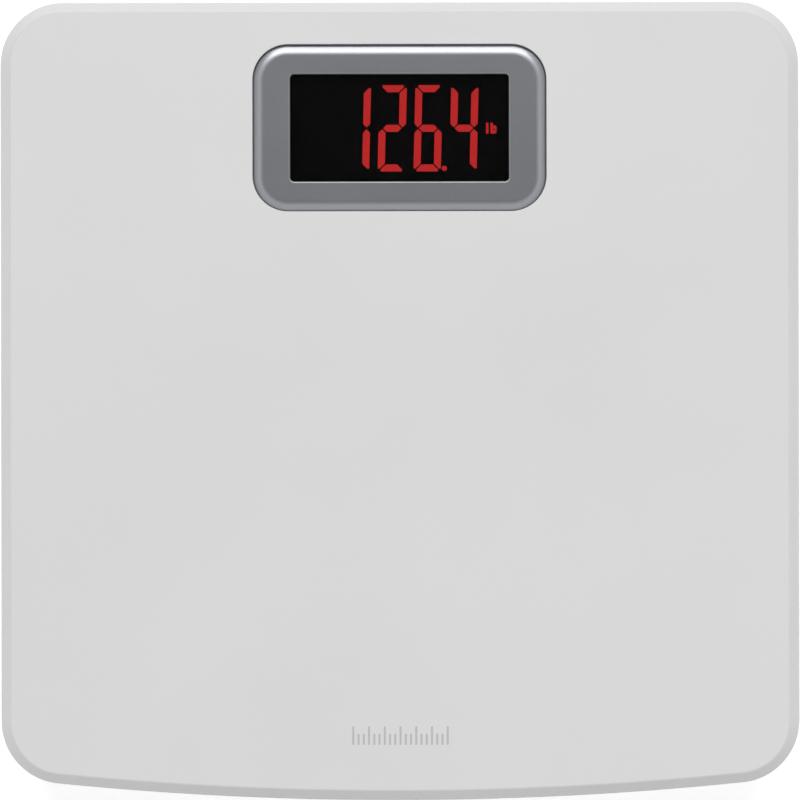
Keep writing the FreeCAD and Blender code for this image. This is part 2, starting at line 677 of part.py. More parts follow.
def foot_cup(corner):
    """Plastic foot: cup with a flange that the tray traps, a hub that bears on the load cell."""
    x, y = foot_centre(corner)
    cup = rod(x, y, CUP_R, CUP_BOTTOM_Z, CUP_FLANGE_Z + SINK)
    cup = cup.makeFillet(CUP_EDGE_R, edges_at(cup, CUP_BOTTOM_Z))
    flange_top = CUP_FLANGE_Z + CUP_FLANGE_T
    floor_top = PAD_T + CUP_FLOOR_T
    cup = united([cup, rod(x, y, CUP_FLANGE_R, CUP_FLANGE_Z, flange_top)])
    cup = cup.cut(rod(x, y, CUP_R - CUP_WALL_T, floor_top, flange_top))
    cup = cup.cut(rod(x, y, PAD_R + PAD_FIT, CUP_BOTTOM_Z, PAD_T))
    added = [cup, rod(x, y, CUP_HUB_R, floor_top - SINK, CELL_Z)]
    for i in range(CUP_RIBS):
        rib = Part.makeBox(CUP_R - CUP_WALL_T / 2, CUP_RIB_T, CUP_FLANGE_Z - floor_top + SINK,
                           V(0, -CUP_RIB_T / 2, floor_top - SINK))
        rib.rotate(V(0, 0, 0), V(0, 0, 1), 360 * i / CUP_RIBS)
        rib.translate(V(x, y, 0))
        added.append(rib)
    return united(added)


def toward_centre(corner):
    """Unit step in plan from the cell's centre to its gauge and leads."""
    side, end = CORNERS[corner]
    return (0, 1) if end < 0 else (-side, 0)


def load_cell(corner):
    """Sprung steel plate: a slot on three sides frees a tongue, which the foot's hub pushes."""
    x, y = foot_centre(corner)
    plate = rounded_slab(x, y, CELL_SIDE, CELL_SIDE, CELL_CORNER_R, CELL_Z, CELL_TOP_Z)
    outer = CELL_TONGUE_W + 2 * CELL_SLOT_W
    slot_length = CELL_SIDE - 2 * CELL_FRAME_W
    slot = block(0, 0, outer, slot_length, CELL_Z, CELL_TOP_Z)
    tongue = block(0, CELL_SLOT_W, CELL_TONGUE_W, slot_length, CELL_Z, CELL_TOP_Z)
    slot = slot.cut(tongue)
    step_x, step_y = toward_centre(corner)
    slot.rotate(V(0, 0, 0), V(0, 0, 1), math.degrees(math.atan2(step_y, step_x)) - 90)
    slot.translate(V(x, y, 0))
    return single(plate.cut(slot))


def strain_gauge(corner):
    """Gauge on the tongue's root under a bead of potting, where the leads start."""
    x, y = foot_centre(corner)
    step_x, step_y = toward_centre(corner)
    w = GAUGE_WIDTH if step_x else GAUGE_LENGTH
    d = GAUGE_LENGTH if step_x else GAUGE_WIDTH
    cx, cy = x + step_x * GAUGE_OFFSET, y + step_y * GAUGE_OFFSET
    bead = block(cx, cy, w, d, CELL_Z - GAUGE_T, CELL_Z)
    upright = [e for e in bead.Edges if e.BoundBox.ZLength > GAUGE_T / 2]
    return bead.makeFillet(GAUGE_EDGE_R, upright)


def cell_seat(corner):
    """Plastic seat over the load cell: holds its frame, leaves its tongue free to rise."""
    x, y = foot_centre(corner)
    room = CELL_SIDE + 2 * CELL_FIT
    seat = rounded_slab(x, y, SEAT_SIDE, SEAT_SIDE, SEAT_CORNER_R, SEAT_BOTTOM_Z, SEAT_TOP_Z)
    pocket = rounded_slab(x, y, room, room, CELL_CORNER_R, SEAT_BOTTOM_Z, CELL_TOP_Z)
    relief_side = CELL_SIDE - 2 * CELL_FRAME_W + 2 * CELL_FIT
    relief = block(x, y, relief_side, relief_side, SEAT_BOTTOM_Z, CELL_TOP_Z + SEAT_RELIEF)
    holes = [pocket, relief]
    for sx, sy in seat_screw_centres(corner):
        holes.append(rod(sx, sy, SMALL_SCREW[0] + SCREW_CLEARANCE, SEAT_BOTTOM_Z, SEAT_TOP_Z))
    hooks = []
    step_x, step_y = toward_centre(corner)
    length = SEAT_HOOK_REACH + CELL_FIT + SEAT_HOOK_ROOT
    across_x = length if step_y else SEAT_HOOK_W
    across_y = SEAT_HOOK_W if step_y else length
    for hand in (-1, 1):
        middle = hand * (room / 2 + SEAT_HOOK_ROOT - length / 2)
        hooks.append(block(x + middle * abs(step_y), y + middle * abs(step_x), across_x, across_y,
                           SEAT_BOTTOM_Z - SEAT_HOOK_T, SEAT_BOTTOM_Z))
    seat = seat.cut(Part.makeCompound(holes))
    return united([seat] + hooks)


def seat_screws():
    """Two small screws through each cell seat into the platform's bosses."""
    screws = []
    for corner in CORNERS:
        for x, y in seat_screw_centres(corner):
            screws.append(screw(x, y, SEAT_BOTTOM_Z, SEAT_SCREW_LENGTH, SMALL_SCREW))
    return Part.makeCompound(screws)


# Display


def display_bezel():
    """Silver frame set into the platform: bevelled rim, flat face, window and board bosses."""
    bezel = rounded_slab(0, DISPLAY_Y, BEZEL_W, BEZEL_D, BEZEL_R, LEDGE_Z, BEZEL_TOP_Z)
    bezel = edged(bezel, BEZEL_TOP_Z, BEZEL_RIM_DROP, BEZEL_RIM_W, BEZEL_RIM_BLEND_R, 0)
    bezel = bezel.cut(rounded_slab(0, DISPLAY_Y, BEZEL_W - 2 * BEZEL_WALL_T, BEZEL_D - 2 * BEZEL_WALL_T,
                                   BEZEL_R - BEZEL_WALL_T, LEDGE_Z, BEZEL_UNDER_Z))
    window = rounded_slab(0, DISPLAY_Y, WINDOW_W, WINDOW_D, WINDOW_R, BEZEL_UNDER_Z - PAST, BEZEL_TOP_Z)
    flare = rounded_slab(0, DISPLAY_Y, WINDOW_W + 2 * WINDOW_CHAMFER, WINDOW_D + 2 * WINDOW_CHAMFER,
                         WINDOW_R + WINDOW_CHAMFER, BEZEL_TOP_Z - WINDOW_CHAMFER, BEZEL_TOP_Z)
    slope = WINDOW_CHAMFER * WINDOW_CHAMFER_SHARE
    flare = flare.makeChamfer(slope, edges_at(flare, BEZEL_TOP_Z - WINDOW_CHAMFER))
    bosses = [rod(x, y, BEZEL_BOSS_R, BOARD_TOP_Z, BEZEL_UNDER_Z + SINK) for x, y in board_screw_centres()]
    pilots = [rod(x, y, SMALL_SCREW[0] + SCREW_FIT, BOARD_TOP_Z - PAST, BEZEL_UNDER_Z - PAST)
              for x, y in board_screw_centres()]
    bezel = bezel.cut(window).cut(flare)
    return single(united([bezel] + bosses).cut(Part.makeCompound(pilots)))


def lens_tape():
    """Double-sided tape that bonds the lens behind the window."""
    opening_w = WINDOW_W + 2 * TAPE_SETBACK
    opening_d = WINDOW_D + 2 * TAPE_SETBACK
    tape = rounded_slab(0, DISPLAY_Y, LENS_W, LENS_D, WINDOW_R, LENS_TOP_Z, BEZEL_UNDER_Z)
    return tape.cut(rounded_slab(0, DISPLAY_Y, opening_w, opening_d, WINDOW_R, LENS_TOP_Z, BEZEL_UNDER_Z))


def display_lens():
    """Smoked acrylic lens."""
    return rounded_slab(0, DISPLAY_Y, LENS_W, LENS_D, WINDOW_R, LENS_UNDER_Z, LENS_TOP_Z)


def segment_outline(name):
    """Corners of one segment of an upright digit whose middle is the origin."""
    w, h, t, clip = DIGIT_W / 2, DIGIT_H / 2, SEGMENT_T, SEGMENT_CLIP
    gap = SEGMENT_GAP / math.sqrt(2)
    tip_x = w - gap - clip
    tip_y = h - gap - clip
    top = [(-tip_x, h), (tip_x, h), (tip_x, h - clip), (w - gap - t, h - t), (gap + t - w, h - t),
           (-tip_x, h - clip)]
    right = [(w, tip_y), (w - clip, tip_y), (w - t, h - gap - t), (w - t, gap + t / 2), (w - t / 2, gap),
             (w, gap + t / 2)]
    end_x = w - t / 2 - gap
    middle = [(end_x, 0), (end_x - t / 2, t / 2), (t / 2 - end_x, t / 2), (-end_x, 0),
              (t / 2 - end_x, -t / 2), (end_x - t / 2, -t / 2)]
    shapes = {"a": (top, 1, 1), "d": (top, 1, -1), "b": (right, 1, 1), "c": (right, 1, -1),
              "f": (right, -1, 1), "e": (right, -1, -1), "g": (middle, 1, 1)}
    points, flip_x, flip_y = shapes[name]
    return [(flip_x * px, flip_y * py) for px, py in points]


def segment(digit, name):
    """One light segment, leaning with its digit."""
    lean = math.tan(math.radians(DIGIT_LEAN))
    z = LED_TOP_Z - SEGMENT_DEPTH
    cx = FIRST_DIGIT_X + digit * DIGIT_PITCH
    corners = [V(cx + px + lean * py, DISPLAY_Y + py, z) for px, py in segment_outline(name)]
    return Part.Face(Part.makePolygon(corners + corners[:1])).extrude(V(0, 0, SEGMENT_DEPTH))


def decimal_point(digit):
    """Round point at the lower right of a digit."""
    x = FIRST_DIGIT_X + digit * DIGIT_PITCH + DIGIT_W / 2 + POINT_OFFSET_X
    return rod(x, DISPLAY_Y - DIGIT_H / 2 + POINT_OFFSET_Y, POINT_R, LED_TOP_Z - SEGMENT_DEPTH, LED_TOP_Z)


def unit_mark():
    """The pounds mark: a bar, then a stem with a bowl."""
    z0, z1 = LED_TOP_Z - SEGMENT_DEPTH, LED_TOP_Z
    width = UNIT_STEM_W + UNIT_MARK_GAP + UNIT_BOWL_W
    left = LAST_DIGIT_X + UNIT_MARK_OFFSET - width / 2
    bowl_left = left + UNIT_STEM_W + UNIT_MARK_GAP
    bar = block(left + UNIT_STEM_W / 2, DISPLAY_Y, UNIT_STEM_W, UNIT_MARK_H, z0, z1)
    stem = block(bowl_left + UNIT_STEM_W / 2, DISPLAY_Y, UNIT_STEM_W, UNIT_MARK_H, z0, z1)
    bowl_y = DISPLAY_Y - UNIT_MARK_H / 2 + UNIT_BOWL_H / 2
    bowl = rounded_slab(bowl_left + UNIT_BOWL_W / 2, bowl_y, UNIT_BOWL_W, UNIT_BOWL_H, UNIT_BOWL_R, z0, z1)
    eye = rod(bowl_left + (UNIT_STEM_W + UNIT_BOWL_W) / 2 - UNIT_EYE_R, bowl_y, UNIT_EYE_R, z0, z1)
    return [bar, united([stem, bowl]).cut(eye)]


def segments(lit):
    """The segments that are lit, or the ones that are dark."""
    found = []
    for digit, names in enumerate(LIT_DIGITS):
        found += [segment(digit, name) for name in "abcdefg" if (name in names) == lit]
        if (digit == POINT_DIGIT) == lit:
            found.append(decimal_point(digit))
    if lit:
        found += unit_mark()
    return Part.makeCompound([s for part in found for s in part.Solids])


def led_housing():
    """Black block of the display module, with a shallow well for each segment."""
    body = block(0, DISPLAY_Y, LED_W, LED_D, LED_BOTTOM_Z, LED_TOP_Z)
    foot_x, foot_y = (LED_W - LED_FOOT_W) / 2, (LED_D - LED_FOOT_D) / 2
    feet = [block(sx * foot_x, DISPLAY_Y + sy * foot_y, LED_FOOT_W, LED_FOOT_D, BOARD_TOP_Z, LED_BOTTOM_Z)
            for sx in (-1, 1) for sy in (-1, 1)]
    body = united([body] + feet)
    return single(body.cut(segments(True)).cut(segments(False)))


def pin_centres():
    """Two rows of pins under the display module."""
    first = -(LED_PINS_PER_ROW - 1) * LED_PIN_PITCH / 2
    return [(first + i * LED_PIN_PITCH, DISPLAY_Y + row * (LED_D / 2 - LED_PIN_ROW_SETBACK))
            for row in (-1, 1) for i in range(LED_PINS_PER_ROW)]


def led_pins():
    """Wire pins from the display module through the board."""
    return Part.makeCompound([rod(x, y, LED_PIN_R, BOARD_Z - LED_PIN_TAIL, LED_BOTTOM_Z)
                              for x, y in pin_centres()])


# Board and electronics


def main_board():
    """Circuit board, clamped against the collar by the screws into the bezel."""
    board = rounded_slab(0, DISPLAY_Y, BOARD_W, BOARD_D, BOARD_R, BOARD_Z, BOARD_TOP_Z)
    holes = [rod(x, y, LED_PIN_R + PIN_HOLE_GAP, BOARD_Z, BOARD_TOP_Z) for x, y in pin_centres()]
    holes += [rod(x, y, SMALL_SCREW[0] + SCREW_CLEARANCE, BOARD_Z, BOARD_TOP_Z)
              for x, y in board_screw_centres()]
    return single(board.cut(Part.makeCompound(holes)))


def board_screws():
    """Four small screws through the board into the bezel's bosses."""
    return Part.makeCompound([screw(x, y, BOARD_Z, BOARD_SCREW_LENGTH, SMALL_SCREW)
                              for x, y in board_screw_centres()])


def under_board(item):
    """A flat component under the board, given as x, y, width, depth and height."""
    x, y, w, d, h = item
    return block(x, DISPLAY_Y + y, w, d, BOARD_Z - h, BOARD_Z)


def controller_chip():
    """Flat controller package with chamfered corners."""
    chip = under_board(CHIP)
    upright = [e for e in chip.Edges if e.BoundBox.ZLength > CHIP[4] / 2]
    return chip.makeChamfer(CHIP_CHAMFER, upright)


def crystal():
    """Timing crystal in a long metal can with round ends."""
    x, y, w, d, h = CRYSTAL
    return rounded_slab(x, DISPLAY_Y + y, w, d, d / 2 - 0.1, BOARD_Z - h, BOARD_Z)


def capacitors():
    """Upright electrolytic capacitors."""
    cans = []
    for x, y in CAPACITORS:
        can = rod(x, DISPLAY_Y + y, CAPACITOR_R, BOARD_Z - CAPACITOR_H, BOARD_Z)
        cans.append(can.makeFillet(CAPACITOR_EDGE_R, edges_at(can, BOARD_Z - CAPACITOR_H)))
    return Part.makeCompound(cans)


def resistors():
    """A row of chip resistors."""
    w, d, h = RESISTOR
    first_x, y, pitch, count = RESISTOR_ROW
    return Part.makeCompound([under_board((first_x + i * pitch, y, w, d, h)) for i in range(count)])


def socket_and_plug(x, y, turn, width):
    """Side-entry socket under a board edge, opening towards -Y before it is turned, and its plug."""
    plug_w = width - 2 * (SOCKET_WALL + PLUG_FIT)
    plug_l = SOCKET_L - SOCKET_WALL - PLUG_FIT + PLUG_STAND_OUT
    shell = block(0, SOCKET_L / 2, width, SOCKET_L, SOCKET_Z, BOARD_Z)
    room = block(0, SOCKET_L / 2 - SOCKET_WALL, width - 2 * SOCKET_WALL, SOCKET_L,
                 SOCKET_Z + SOCKET_WALL, BOARD_Z - SOCKET_WALL)
    plug = block(0, plug_l / 2 - PLUG_STAND_OUT, plug_w, plug_l,
                 SOCKET_Z + SOCKET_WALL + PLUG_FIT, BOARD_Z - SOCKET_WALL - PLUG_FIT)
    socket = shell.cut(room)
    for piece in (socket, plug):
        piece.rotate(V(0, 0, 0), V(0, 0, 1), turn)
        piece.translate(V(x, y, 0))
    return socket, plug


def sockets_and_plugs():
    """One socket and plug for each load cell, at the board's sides, and one for the battery."""
    pairs = [socket_and_plug(0, DISPLAY_Y - BOARD_D / 2, 0, BATTERY_SOCKET_W)]
    for side in (-1, 1):
        for end in (-1, 1):
            y = DISPLAY_Y + end * CELL_SOCKET_Y
            pairs.append(socket_and_plug(side * BOARD_W / 2, y, side * 90, CELL_SOCKET_W))
    return [Part.makeCompound([single(pair[i]) for pair in pairs]) for i in (0, 1)]


# Unit button


def unit_switch_body():
    """Square tact switch under the board."""
    x, y = BUTTON_CENTRE
    body = block(x, y, SWITCH_SIDE, SWITCH_SIDE, SWITCH_Z, BOARD_Z)
    room = rod(x, y, STEM_R + STEM_GAP, SWITCH_Z, SWITCH_Z + STEM_IN + BUTTON_TRAVEL + STEM_GAP)
    return single(body.cut(room))


def unit_switch_stem():
    """The tact switch's own short stem."""
    x, y = BUTTON_CENTRE
    return rod(x, y, STEM_R, BUTTON_TOP_Z, SWITCH_Z + STEM_IN)


def unit_button():
    """Round button under the tray, trapped by its flange, with a plunger up to the switch."""
    x, y = BUTTON_CENTRE
    cap = rod(x, y, BUTTON_CAP_R, TRAY_BOTTOM_Z + BUTTON_RECESS, FLOOR_Z + SINK)
    cap = cap.makeFillet(BUTTON_EDGE_R, edges_at(cap, TRAY_BOTTOM_Z + BUTTON_RECESS))
    flange = rod(x, y, BUTTON_FLANGE_R, FLOOR_Z, FLOOR_Z + BUTTON_FLANGE_T)
    plunger = rod(x, y, BUTTON_PLUNGER_R, FLOOR_Z + BUTTON_FLANGE_T - SINK, BUTTON_TOP_Z)
    return united([cap, flange, plunger])


# Battery and its door


def battery():
    """Nine-volt block battery, lying flat."""
    body = block(0, BATTERY_FRONT_Y + BATTERY_L / 2, BATTERY_W, BATTERY_L, BATTERY_Z, BATTERY_Z + BATTERY_T)
    long_edges = [e for e in body.Edges if e.BoundBox.YLength > BATTERY_L / 2]
    return body.makeFillet(BATTERY_EDGE_R, long_edges)


def battery_terminals():
    """The battery's two snap studs."""
    studs = []
    for side in (-1, 1):
        place = V(side * TERMINAL_SPACING / 2, BATTERY_REAR_Y, BATTERY_MID_Z)
        studs.append(Part.makeCylinder(TERMINAL_R, TERMINAL_H, place, V(0, 1, 0)))
    return Part.makeCompound(studs)


def battery_snap():
    """Snap connector pressed on the studs."""
    half_d = SNAP_D / 2
    cap = block(0, SNAP_Y + SNAP_T / 2, SNAP_W, SNAP_T, BATTERY_MID_Z - half_d, BATTERY_MID_Z + half_d)
    corners = [e for e in cap.Edges if e.BoundBox.YLength > SNAP_T / 2]
    return cap.makeFillet(SNAP_CORNER_R, corners)


def battery_door():
    """Hinged door: plate, hinge barrel with two pins, sprung latch tongue with a finger ridge."""
    front = POCKET_FRONT_Y + DOOR_GAP
    width = POCKET_W - 2 * DOOR_GAP
    plate = block(0, (front + HINGE_Y) / 2, width, HINGE_Y - front, TRAY_BOTTOM_Z, DOOR_TOP_Z)
    barrel = Part.makeCylinder(HINGE_R, width, V(-width / 2, HINGE_Y, DOOR_TOP_Z), V(1, 0, 0))
    pin_width = POCKET_W + 2 * HINGE_PIN_L
    pins = Part.makeCylinder(HINGE_PIN_R, pin_width, V(-pin_width / 2, HINGE_Y, DOOR_TOP_Z), V(1, 0, 0))
    slots = [block(side * (LATCH_W + LATCH_SLOT_W) / 2, front + LATCH_L / 2, LATCH_SLOT_W, LATCH_L,
                   TRAY_BOTTOM_Z, DOOR_TOP_Z) for side in (-1, 1)]
    first = front + GRIP_LINE_SETBACK
    grooves = [Part.makeCylinder(GRIP_LINE_R, GRIP_LINE_L,
                                 V(-GRIP_LINE_L / 2, first + i * GRIP_LINE_PITCH, TRAY_BOTTOM_Z), V(1, 0, 0))
               for i in range(GRIP_LINES)]
    return single(united([plate, barrel, pins]).cut(Part.makeCompound(slots + grooves)))


# Leads


def swept_lead(points):
    """Round lead along straight runs joined by tangent arcs; prints its tightest radius."""
    edges, radii = [], []
    here = points[0]
    for before, corner, after in zip(points, points[1:], points[2:]):
        way_in = (corner - before).normalize()
        way_out = (after - corner).normalize()
        half_turn = way_in.getAngle(way_out) / 2
        cut_back = LEAD_ARC_SHARE * min((corner - before).Length, (after - corner).Length)
        radius = cut_back / math.tan(half_turn)
        inward = (way_out - way_in).normalize()
        arc_start = corner - way_in * cut_back
        arc_end = corner + way_out * cut_back
        arc_middle = corner + inward * (radius / math.cos(half_turn) - radius)
        edges.append(Part.LineSegment(here, arc_start).toShape())
        edges.append(Part.Arc(arc_start, arc_middle, arc_end).toShape())
        radii.append(radius)
        here = arc_end
    edges.append(Part.LineSegment(here, points[-1]).toShape())
    path = Part.Wire(edges)
    start_way = (points[1] - points[0]).normalize()
    section = Part.Face(Part.Wire(Part.Circle(points[0], start_way, LEAD_R).toShape()))
    tube = path.makePipe(section)
    print("lead: length %.1f, tightest radius %.1f, volume share %.4f"
          % (path.Length, min(radii), tube.Volume / (section.Area * path.Length)))
    return single(tube)


def front_lead_route(shift):
    """A front cell's lead on the left: back along the tray's ribs, then up to the board."""
    x, y = foot_centre("front_left")
    rib_z = FLOOR_Z + TRAY_RIB_H + LEAD_OVER_RIBS + LEAD_R
    plug_x = -(BOARD_W / 2 + PLUG_STAND_OUT)
    plug_y = DISPLAY_Y - CELL_SOCKET_Y
    gauge_y = y + GAUGE_OFFSET + GAUGE_WIDTH / 2
    middle = [
        V(x, gauge_y + 15.5, LEAD_START_Z),
        V(x + 1, gauge_y + 39.5, rib_z),
        V(x + 6, gauge_y + 83.5, rib_z),
        V(plug_x - 44, plug_y - 59.4, rib_z),
        V(plug_x - 31, plug_y - 25.4, rib_z + 1.7),
        V(plug_x - 21, plug_y - 5.4, rib_z + 5.7),
        V(plug_x - 11, plug_y, PLUG_MID_Z),
    ]
    sideways = V(-shift, shift, 0)
    start = V(x - shift, gauge_y, LEAD_START_Z)
    end = V(plug_x, plug_y + shift, PLUG_MID_Z)
    return [start] + [point + sideways for point in middle] + [end]


def rear_lead_route(shift):
    """A rear cell's lead on the left: straight across to the board."""
    x, y = foot_centre("rear_left")
    plug_x = -(BOARD_W / 2 + PLUG_STAND_OUT)
    plug_y = DISPLAY_Y + CELL_SOCKET_Y
    start_x = x + GAUGE_OFFSET + GAUGE_WIDTH / 2
    reach = (plug_x - start_x) / 3
    return [
        V(start_x, y + shift, LEAD_START_Z),
        V(start_x + reach, y + shift, LEAD_START_Z),
        V(plug_x - reach, plug_y + shift, PLUG_MID_Z),
        V(plug_x, plug_y + shift, PLUG_MID_Z),
    ]


def cell_leads(corner):
    """Three leads from a load cell to the board."""
    side, end = CORNERS[corner]
    route = rear_lead_route if end > 0 else front_lead_route
    leads = [swept_lead([V(-side * p.x, p.y, p.z) for p in route(i * LEAD_PITCH)]) for i in (-1, 0, 1)]
    return Part.makeCompound(leads)


def battery_lead(side):
    """One lead from the snap connector, through the pocket's slot, to the board."""
    start_y = SNAP_Y + SNAP_T
    end_y = DISPLAY_Y - BOARD_D / 2 - PLUG_STAND_OUT
    third = (end_y - start_y) / 3
    x = side * BATTERY_LEAD_X
    return swept_lead([
        V(x, start_y, BATTERY_MID_Z),
        V(x, start_y + third - 0.7, BATTERY_MID_Z),
        V(x, end_y - third + 0.7, PLUG_MID_Z),
        V(x, end_y, PLUG_MID_Z),
    ])


def build_all():
    """Every sub-part by name."""
    sockets, plugs = sockets_and_plugs()
    parts = {
        "platform_shell": platform_shell(),
        "base_tray": base_tray(),
        "rating_label": rating_label(),
        "housing_screws": housing_screws(),
        "seat_screws": seat_screws(),
        "display_bezel": display_bezel(),
        "lens_tape": lens_tape(),
        "display_lens": display_lens(),
        "led_housing": led_housing(),
        "lit_segments": segments(True),
        "unlit_segments": segments(False),
        "led_pins": led_pins(),
        "main_board": main_board(),
        "board_screws": board_screws(),
        "controller_chip": controller_chip(),
        "crystal": crystal(),
        "capacitors": capacitors(),
        "resistors": resistors(),
        "lead_sockets": sockets,
        "lead_plugs": plugs,
        "unit_switch_body": unit_switch_body(),
        "unit_switch_stem": unit_switch_stem(),
        "unit_button": unit_button(),
        "battery": battery(),
        "battery_terminals": battery_terminals(),
        "battery_snap": battery_snap(),
        "battery_lead_red": battery_lead(-1),
        "battery_lead_black": battery_lead(1),
        "battery_door": battery_door(),
    }
    for corner in CORNERS:
        parts["foot_pad_" + corner] = foot_pad(corner)
        parts["foot_cup_" + corner] = foot_cup(corner)
        parts["load_cell_" + corner] = load_cell(corner)
        parts["strain_gauge_" + corner] = strain_gauge(corner)
        parts["cell_seat_" + corner] = cell_seat(corner)
        parts["cell_leads_" + corner] = cell_leads(corner)
    return parts


os.makedirs("parts", exist_ok=True)
for node, shape in build_all().items():
    shape.exportStep("parts/" + node + ".step")
    print("%-26s solids %3d  volume %9.1f  valid %s"
          % (node, len(shape.Solids), shape.Volume, shape.isValid()))
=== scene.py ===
import math
import bmesh
import bpy
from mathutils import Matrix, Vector


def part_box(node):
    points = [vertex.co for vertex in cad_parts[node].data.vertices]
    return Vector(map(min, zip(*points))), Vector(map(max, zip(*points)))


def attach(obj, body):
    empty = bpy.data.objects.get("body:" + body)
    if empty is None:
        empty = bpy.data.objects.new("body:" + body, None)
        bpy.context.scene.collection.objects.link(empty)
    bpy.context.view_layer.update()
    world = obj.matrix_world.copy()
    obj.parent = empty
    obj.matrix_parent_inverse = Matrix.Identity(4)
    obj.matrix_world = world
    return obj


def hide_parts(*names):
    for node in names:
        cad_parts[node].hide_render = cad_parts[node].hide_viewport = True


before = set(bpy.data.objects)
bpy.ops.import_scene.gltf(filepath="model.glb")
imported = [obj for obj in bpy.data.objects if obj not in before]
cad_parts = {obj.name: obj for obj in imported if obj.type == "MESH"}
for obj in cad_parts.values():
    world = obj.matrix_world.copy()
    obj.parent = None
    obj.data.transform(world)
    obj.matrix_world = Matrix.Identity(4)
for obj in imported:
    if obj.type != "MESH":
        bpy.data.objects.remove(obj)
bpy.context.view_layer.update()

# A digital bathroom scale: white moulded platform and tray, silver display bezel, smoked lens
# over red light segments, four rubber-padded feet, a battery door and a unit button below.
# Metres and degrees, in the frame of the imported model. +X is the right-hand side, +Y the rear, +Z up.

MM = 0.001

# Points nearer than this are one
WELD = 0.001 * MM

# Platform cover
CORNER_R = 24.0 * MM
FRONT_BOW_R = 1300.0 * MM
PLATE_T = 3.0 * MM
SKIRT_T = 3.0 * MM
SKIRT_EDGE_R = 0.3 * MM
SEAM_Z = 18.0 * MM
BEVEL_W = 4.0 * MM
BEVEL_DROP = 2.2 * MM
BEVEL_BLEND = 0.35 * MM
BEVEL_EDGE = 0.6 * MM
APERTURE_GAP = 0.3 * MM
APERTURE_R = 13.6 * MM
APERTURE_EDGE = 0.2 * MM
LEDGE_W = 3.0 * MM
LEDGE_T = 2.5 * MM
COLLAR_T = 2.5 * MM

# Flat ring beside a rounded edge of the tread, which keeps the shading even
SUPPORT = 0.6 * MM

# Finishes of the cover, the last a darker copy of the white that is painted shade on the bevel and skirt,
# and the place of print in any piece's list
COVER_FINISHES = ("white_shell", "mark_print", "cover_edge_painted_shade")
PRINT = 1

# Graduation mark printed at the front of the tread
MARK_Y = 25.0 * MM
MARK_TICKS = 19
MARK_PITCH = 2.0 * MM
MARK_TICK_W = 0.8 * MM
MARK_LONG = 7.0 * MM
MARK_SHORT = 4.2 * MM
MARK_LONG_EVERY = 3

# Bezel and lens
RIM_W = 2.6 * MM
RIM_DROP = 1.2 * MM
RIM_BLEND = 1.25 * MM
RIM_EDGE = 0.15 * MM
RIM_SUPPORT = 1.6 * MM
BEZEL_PLATE_T = 1.4 * MM
BEZEL_WALL_T = 2.0 * MM
BEZEL_DEPTH = 4.4 * MM
WINDOW_W = 83.45 * MM
WINDOW_D = 40.9 * MM
WINDOW_R = 1.6 * MM
WINDOW_CHAMFER = 0.4 * MM
WINDOW_EDGE = 0.15 * MM
LENS_EDGE = 0.15 * MM

# Print on the rating label: one heading bar, plain rules, and a block at the right
LABEL_R = 3.0 * MM
LABEL_BORDER = 5.0 * MM
HEADING_SIZE = (34.0 * MM, 3.4 * MM)
RULE_SIZE = (46.0 * MM, 0.7 * MM)
RULE_PITCH = 4.6 * MM
RULES = 5
BLOCK_SIDE = 15.0 * MM

# Steps round a corner, along the front and across a rounded edge
ROUND_STEPS = 24
BOW_STEPS = 60
BLEND_STEPS = 6
RIM_STEPS = 8
BEVEL_EDGE_STEPS = 5
EDGE_STEPS = 3
SMALL_EDGE_STEPS = 2

# Turns between two faces that tell edges apart, and the turn above which an edge stays sharp
SLIGHT_TURN = 10.0
FIRM_TURN = 40.0
STEEP_TURN = 60.0
SMOOTH_LIMIT = 32.0

# Noise in the finishes, and its stretch where a sheet was rolled
RAMP_ENDS = (0.35, 0.65)
GLOSS_ENDS = (0.2, 0.8)
MOTTLE_DETAIL = 3.0
GLOSS_DETAIL = 2.0
GRAIN_DETAIL = 2.0
ROLLED = (0.05, 1.0, 1.0)

# Pale band of the battery's wrap, as shares of its length from the front
BAND_STARTS = 0.72
BAND_ENDS = 0.96
BAND_TONE = (0.42, 0.43, 0.45, 1.0)

# Plain colours
WHITE = (1.0, 1.0, 1.0, 1.0)
BLACK = (0.0, 0.0, 0.0, 1.0)

# Studio: floor, the sky's brightness by the sine of the height above the horizon, and soft box
FLOOR_SIZE = 6.0
FLOOR_CELLS = 4
FLOOR_DROP = 0.05 * MM
FLOOR_TONE = (0.95, 0.95, 0.95)
FLOOR_GLOW = 0.42
SKY = ((0.0, 0.82), (0.15, 0.76), (0.26, 0.08), (0.50, 0.15), (0.66, 1.0), (0.84, 0.97), (0.94, 0.44),
       (0.985, 0.03))
KEY_POWER = 370.0
KEY_ELEVATION = 46.0
KEY_DISTANCE = 8.0
KEY_SIZE = (7.0, 4.0)

# Camera, with its lens in millimetres
CAMERA_HEIGHT = 1182.7 * MM
CAMERA_PLACE = (0.02 * MM, 0.44 * MM)
CAMERA_TURN = -0.1
CAMERA_LENS = 135.0


# Places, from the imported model


def size_of(node):
    """Middle in plan, width, depth, lowest and highest z of a node."""
    low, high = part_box(node)
    return (low + high) / 2, high.x - low.x, high.y - low.y, low.z, high.z


# The plan is as deep at its middle as it is wide
_, PLATFORM_W, _, _, TREAD_Z = size_of("platform_shell")
PLATFORM_D = PLATFORM_W
DISPLAY_CENTRE, BEZEL_W, BEZEL_D, BOARD_TOP_Z, BEZEL_TOP_Z = size_of("display_bezel")
DISPLAY_Y = DISPLAY_CENTRE.y
LENS_W, LENS_D, LENS_Z, LENS_TOP_Z = size_of("display_lens")[1:]
BEZEL_R = APERTURE_R - APERTURE_GAP
LEDGE_Z = BEZEL_TOP_Z - BEZEL_DEPTH


# Mesh tools


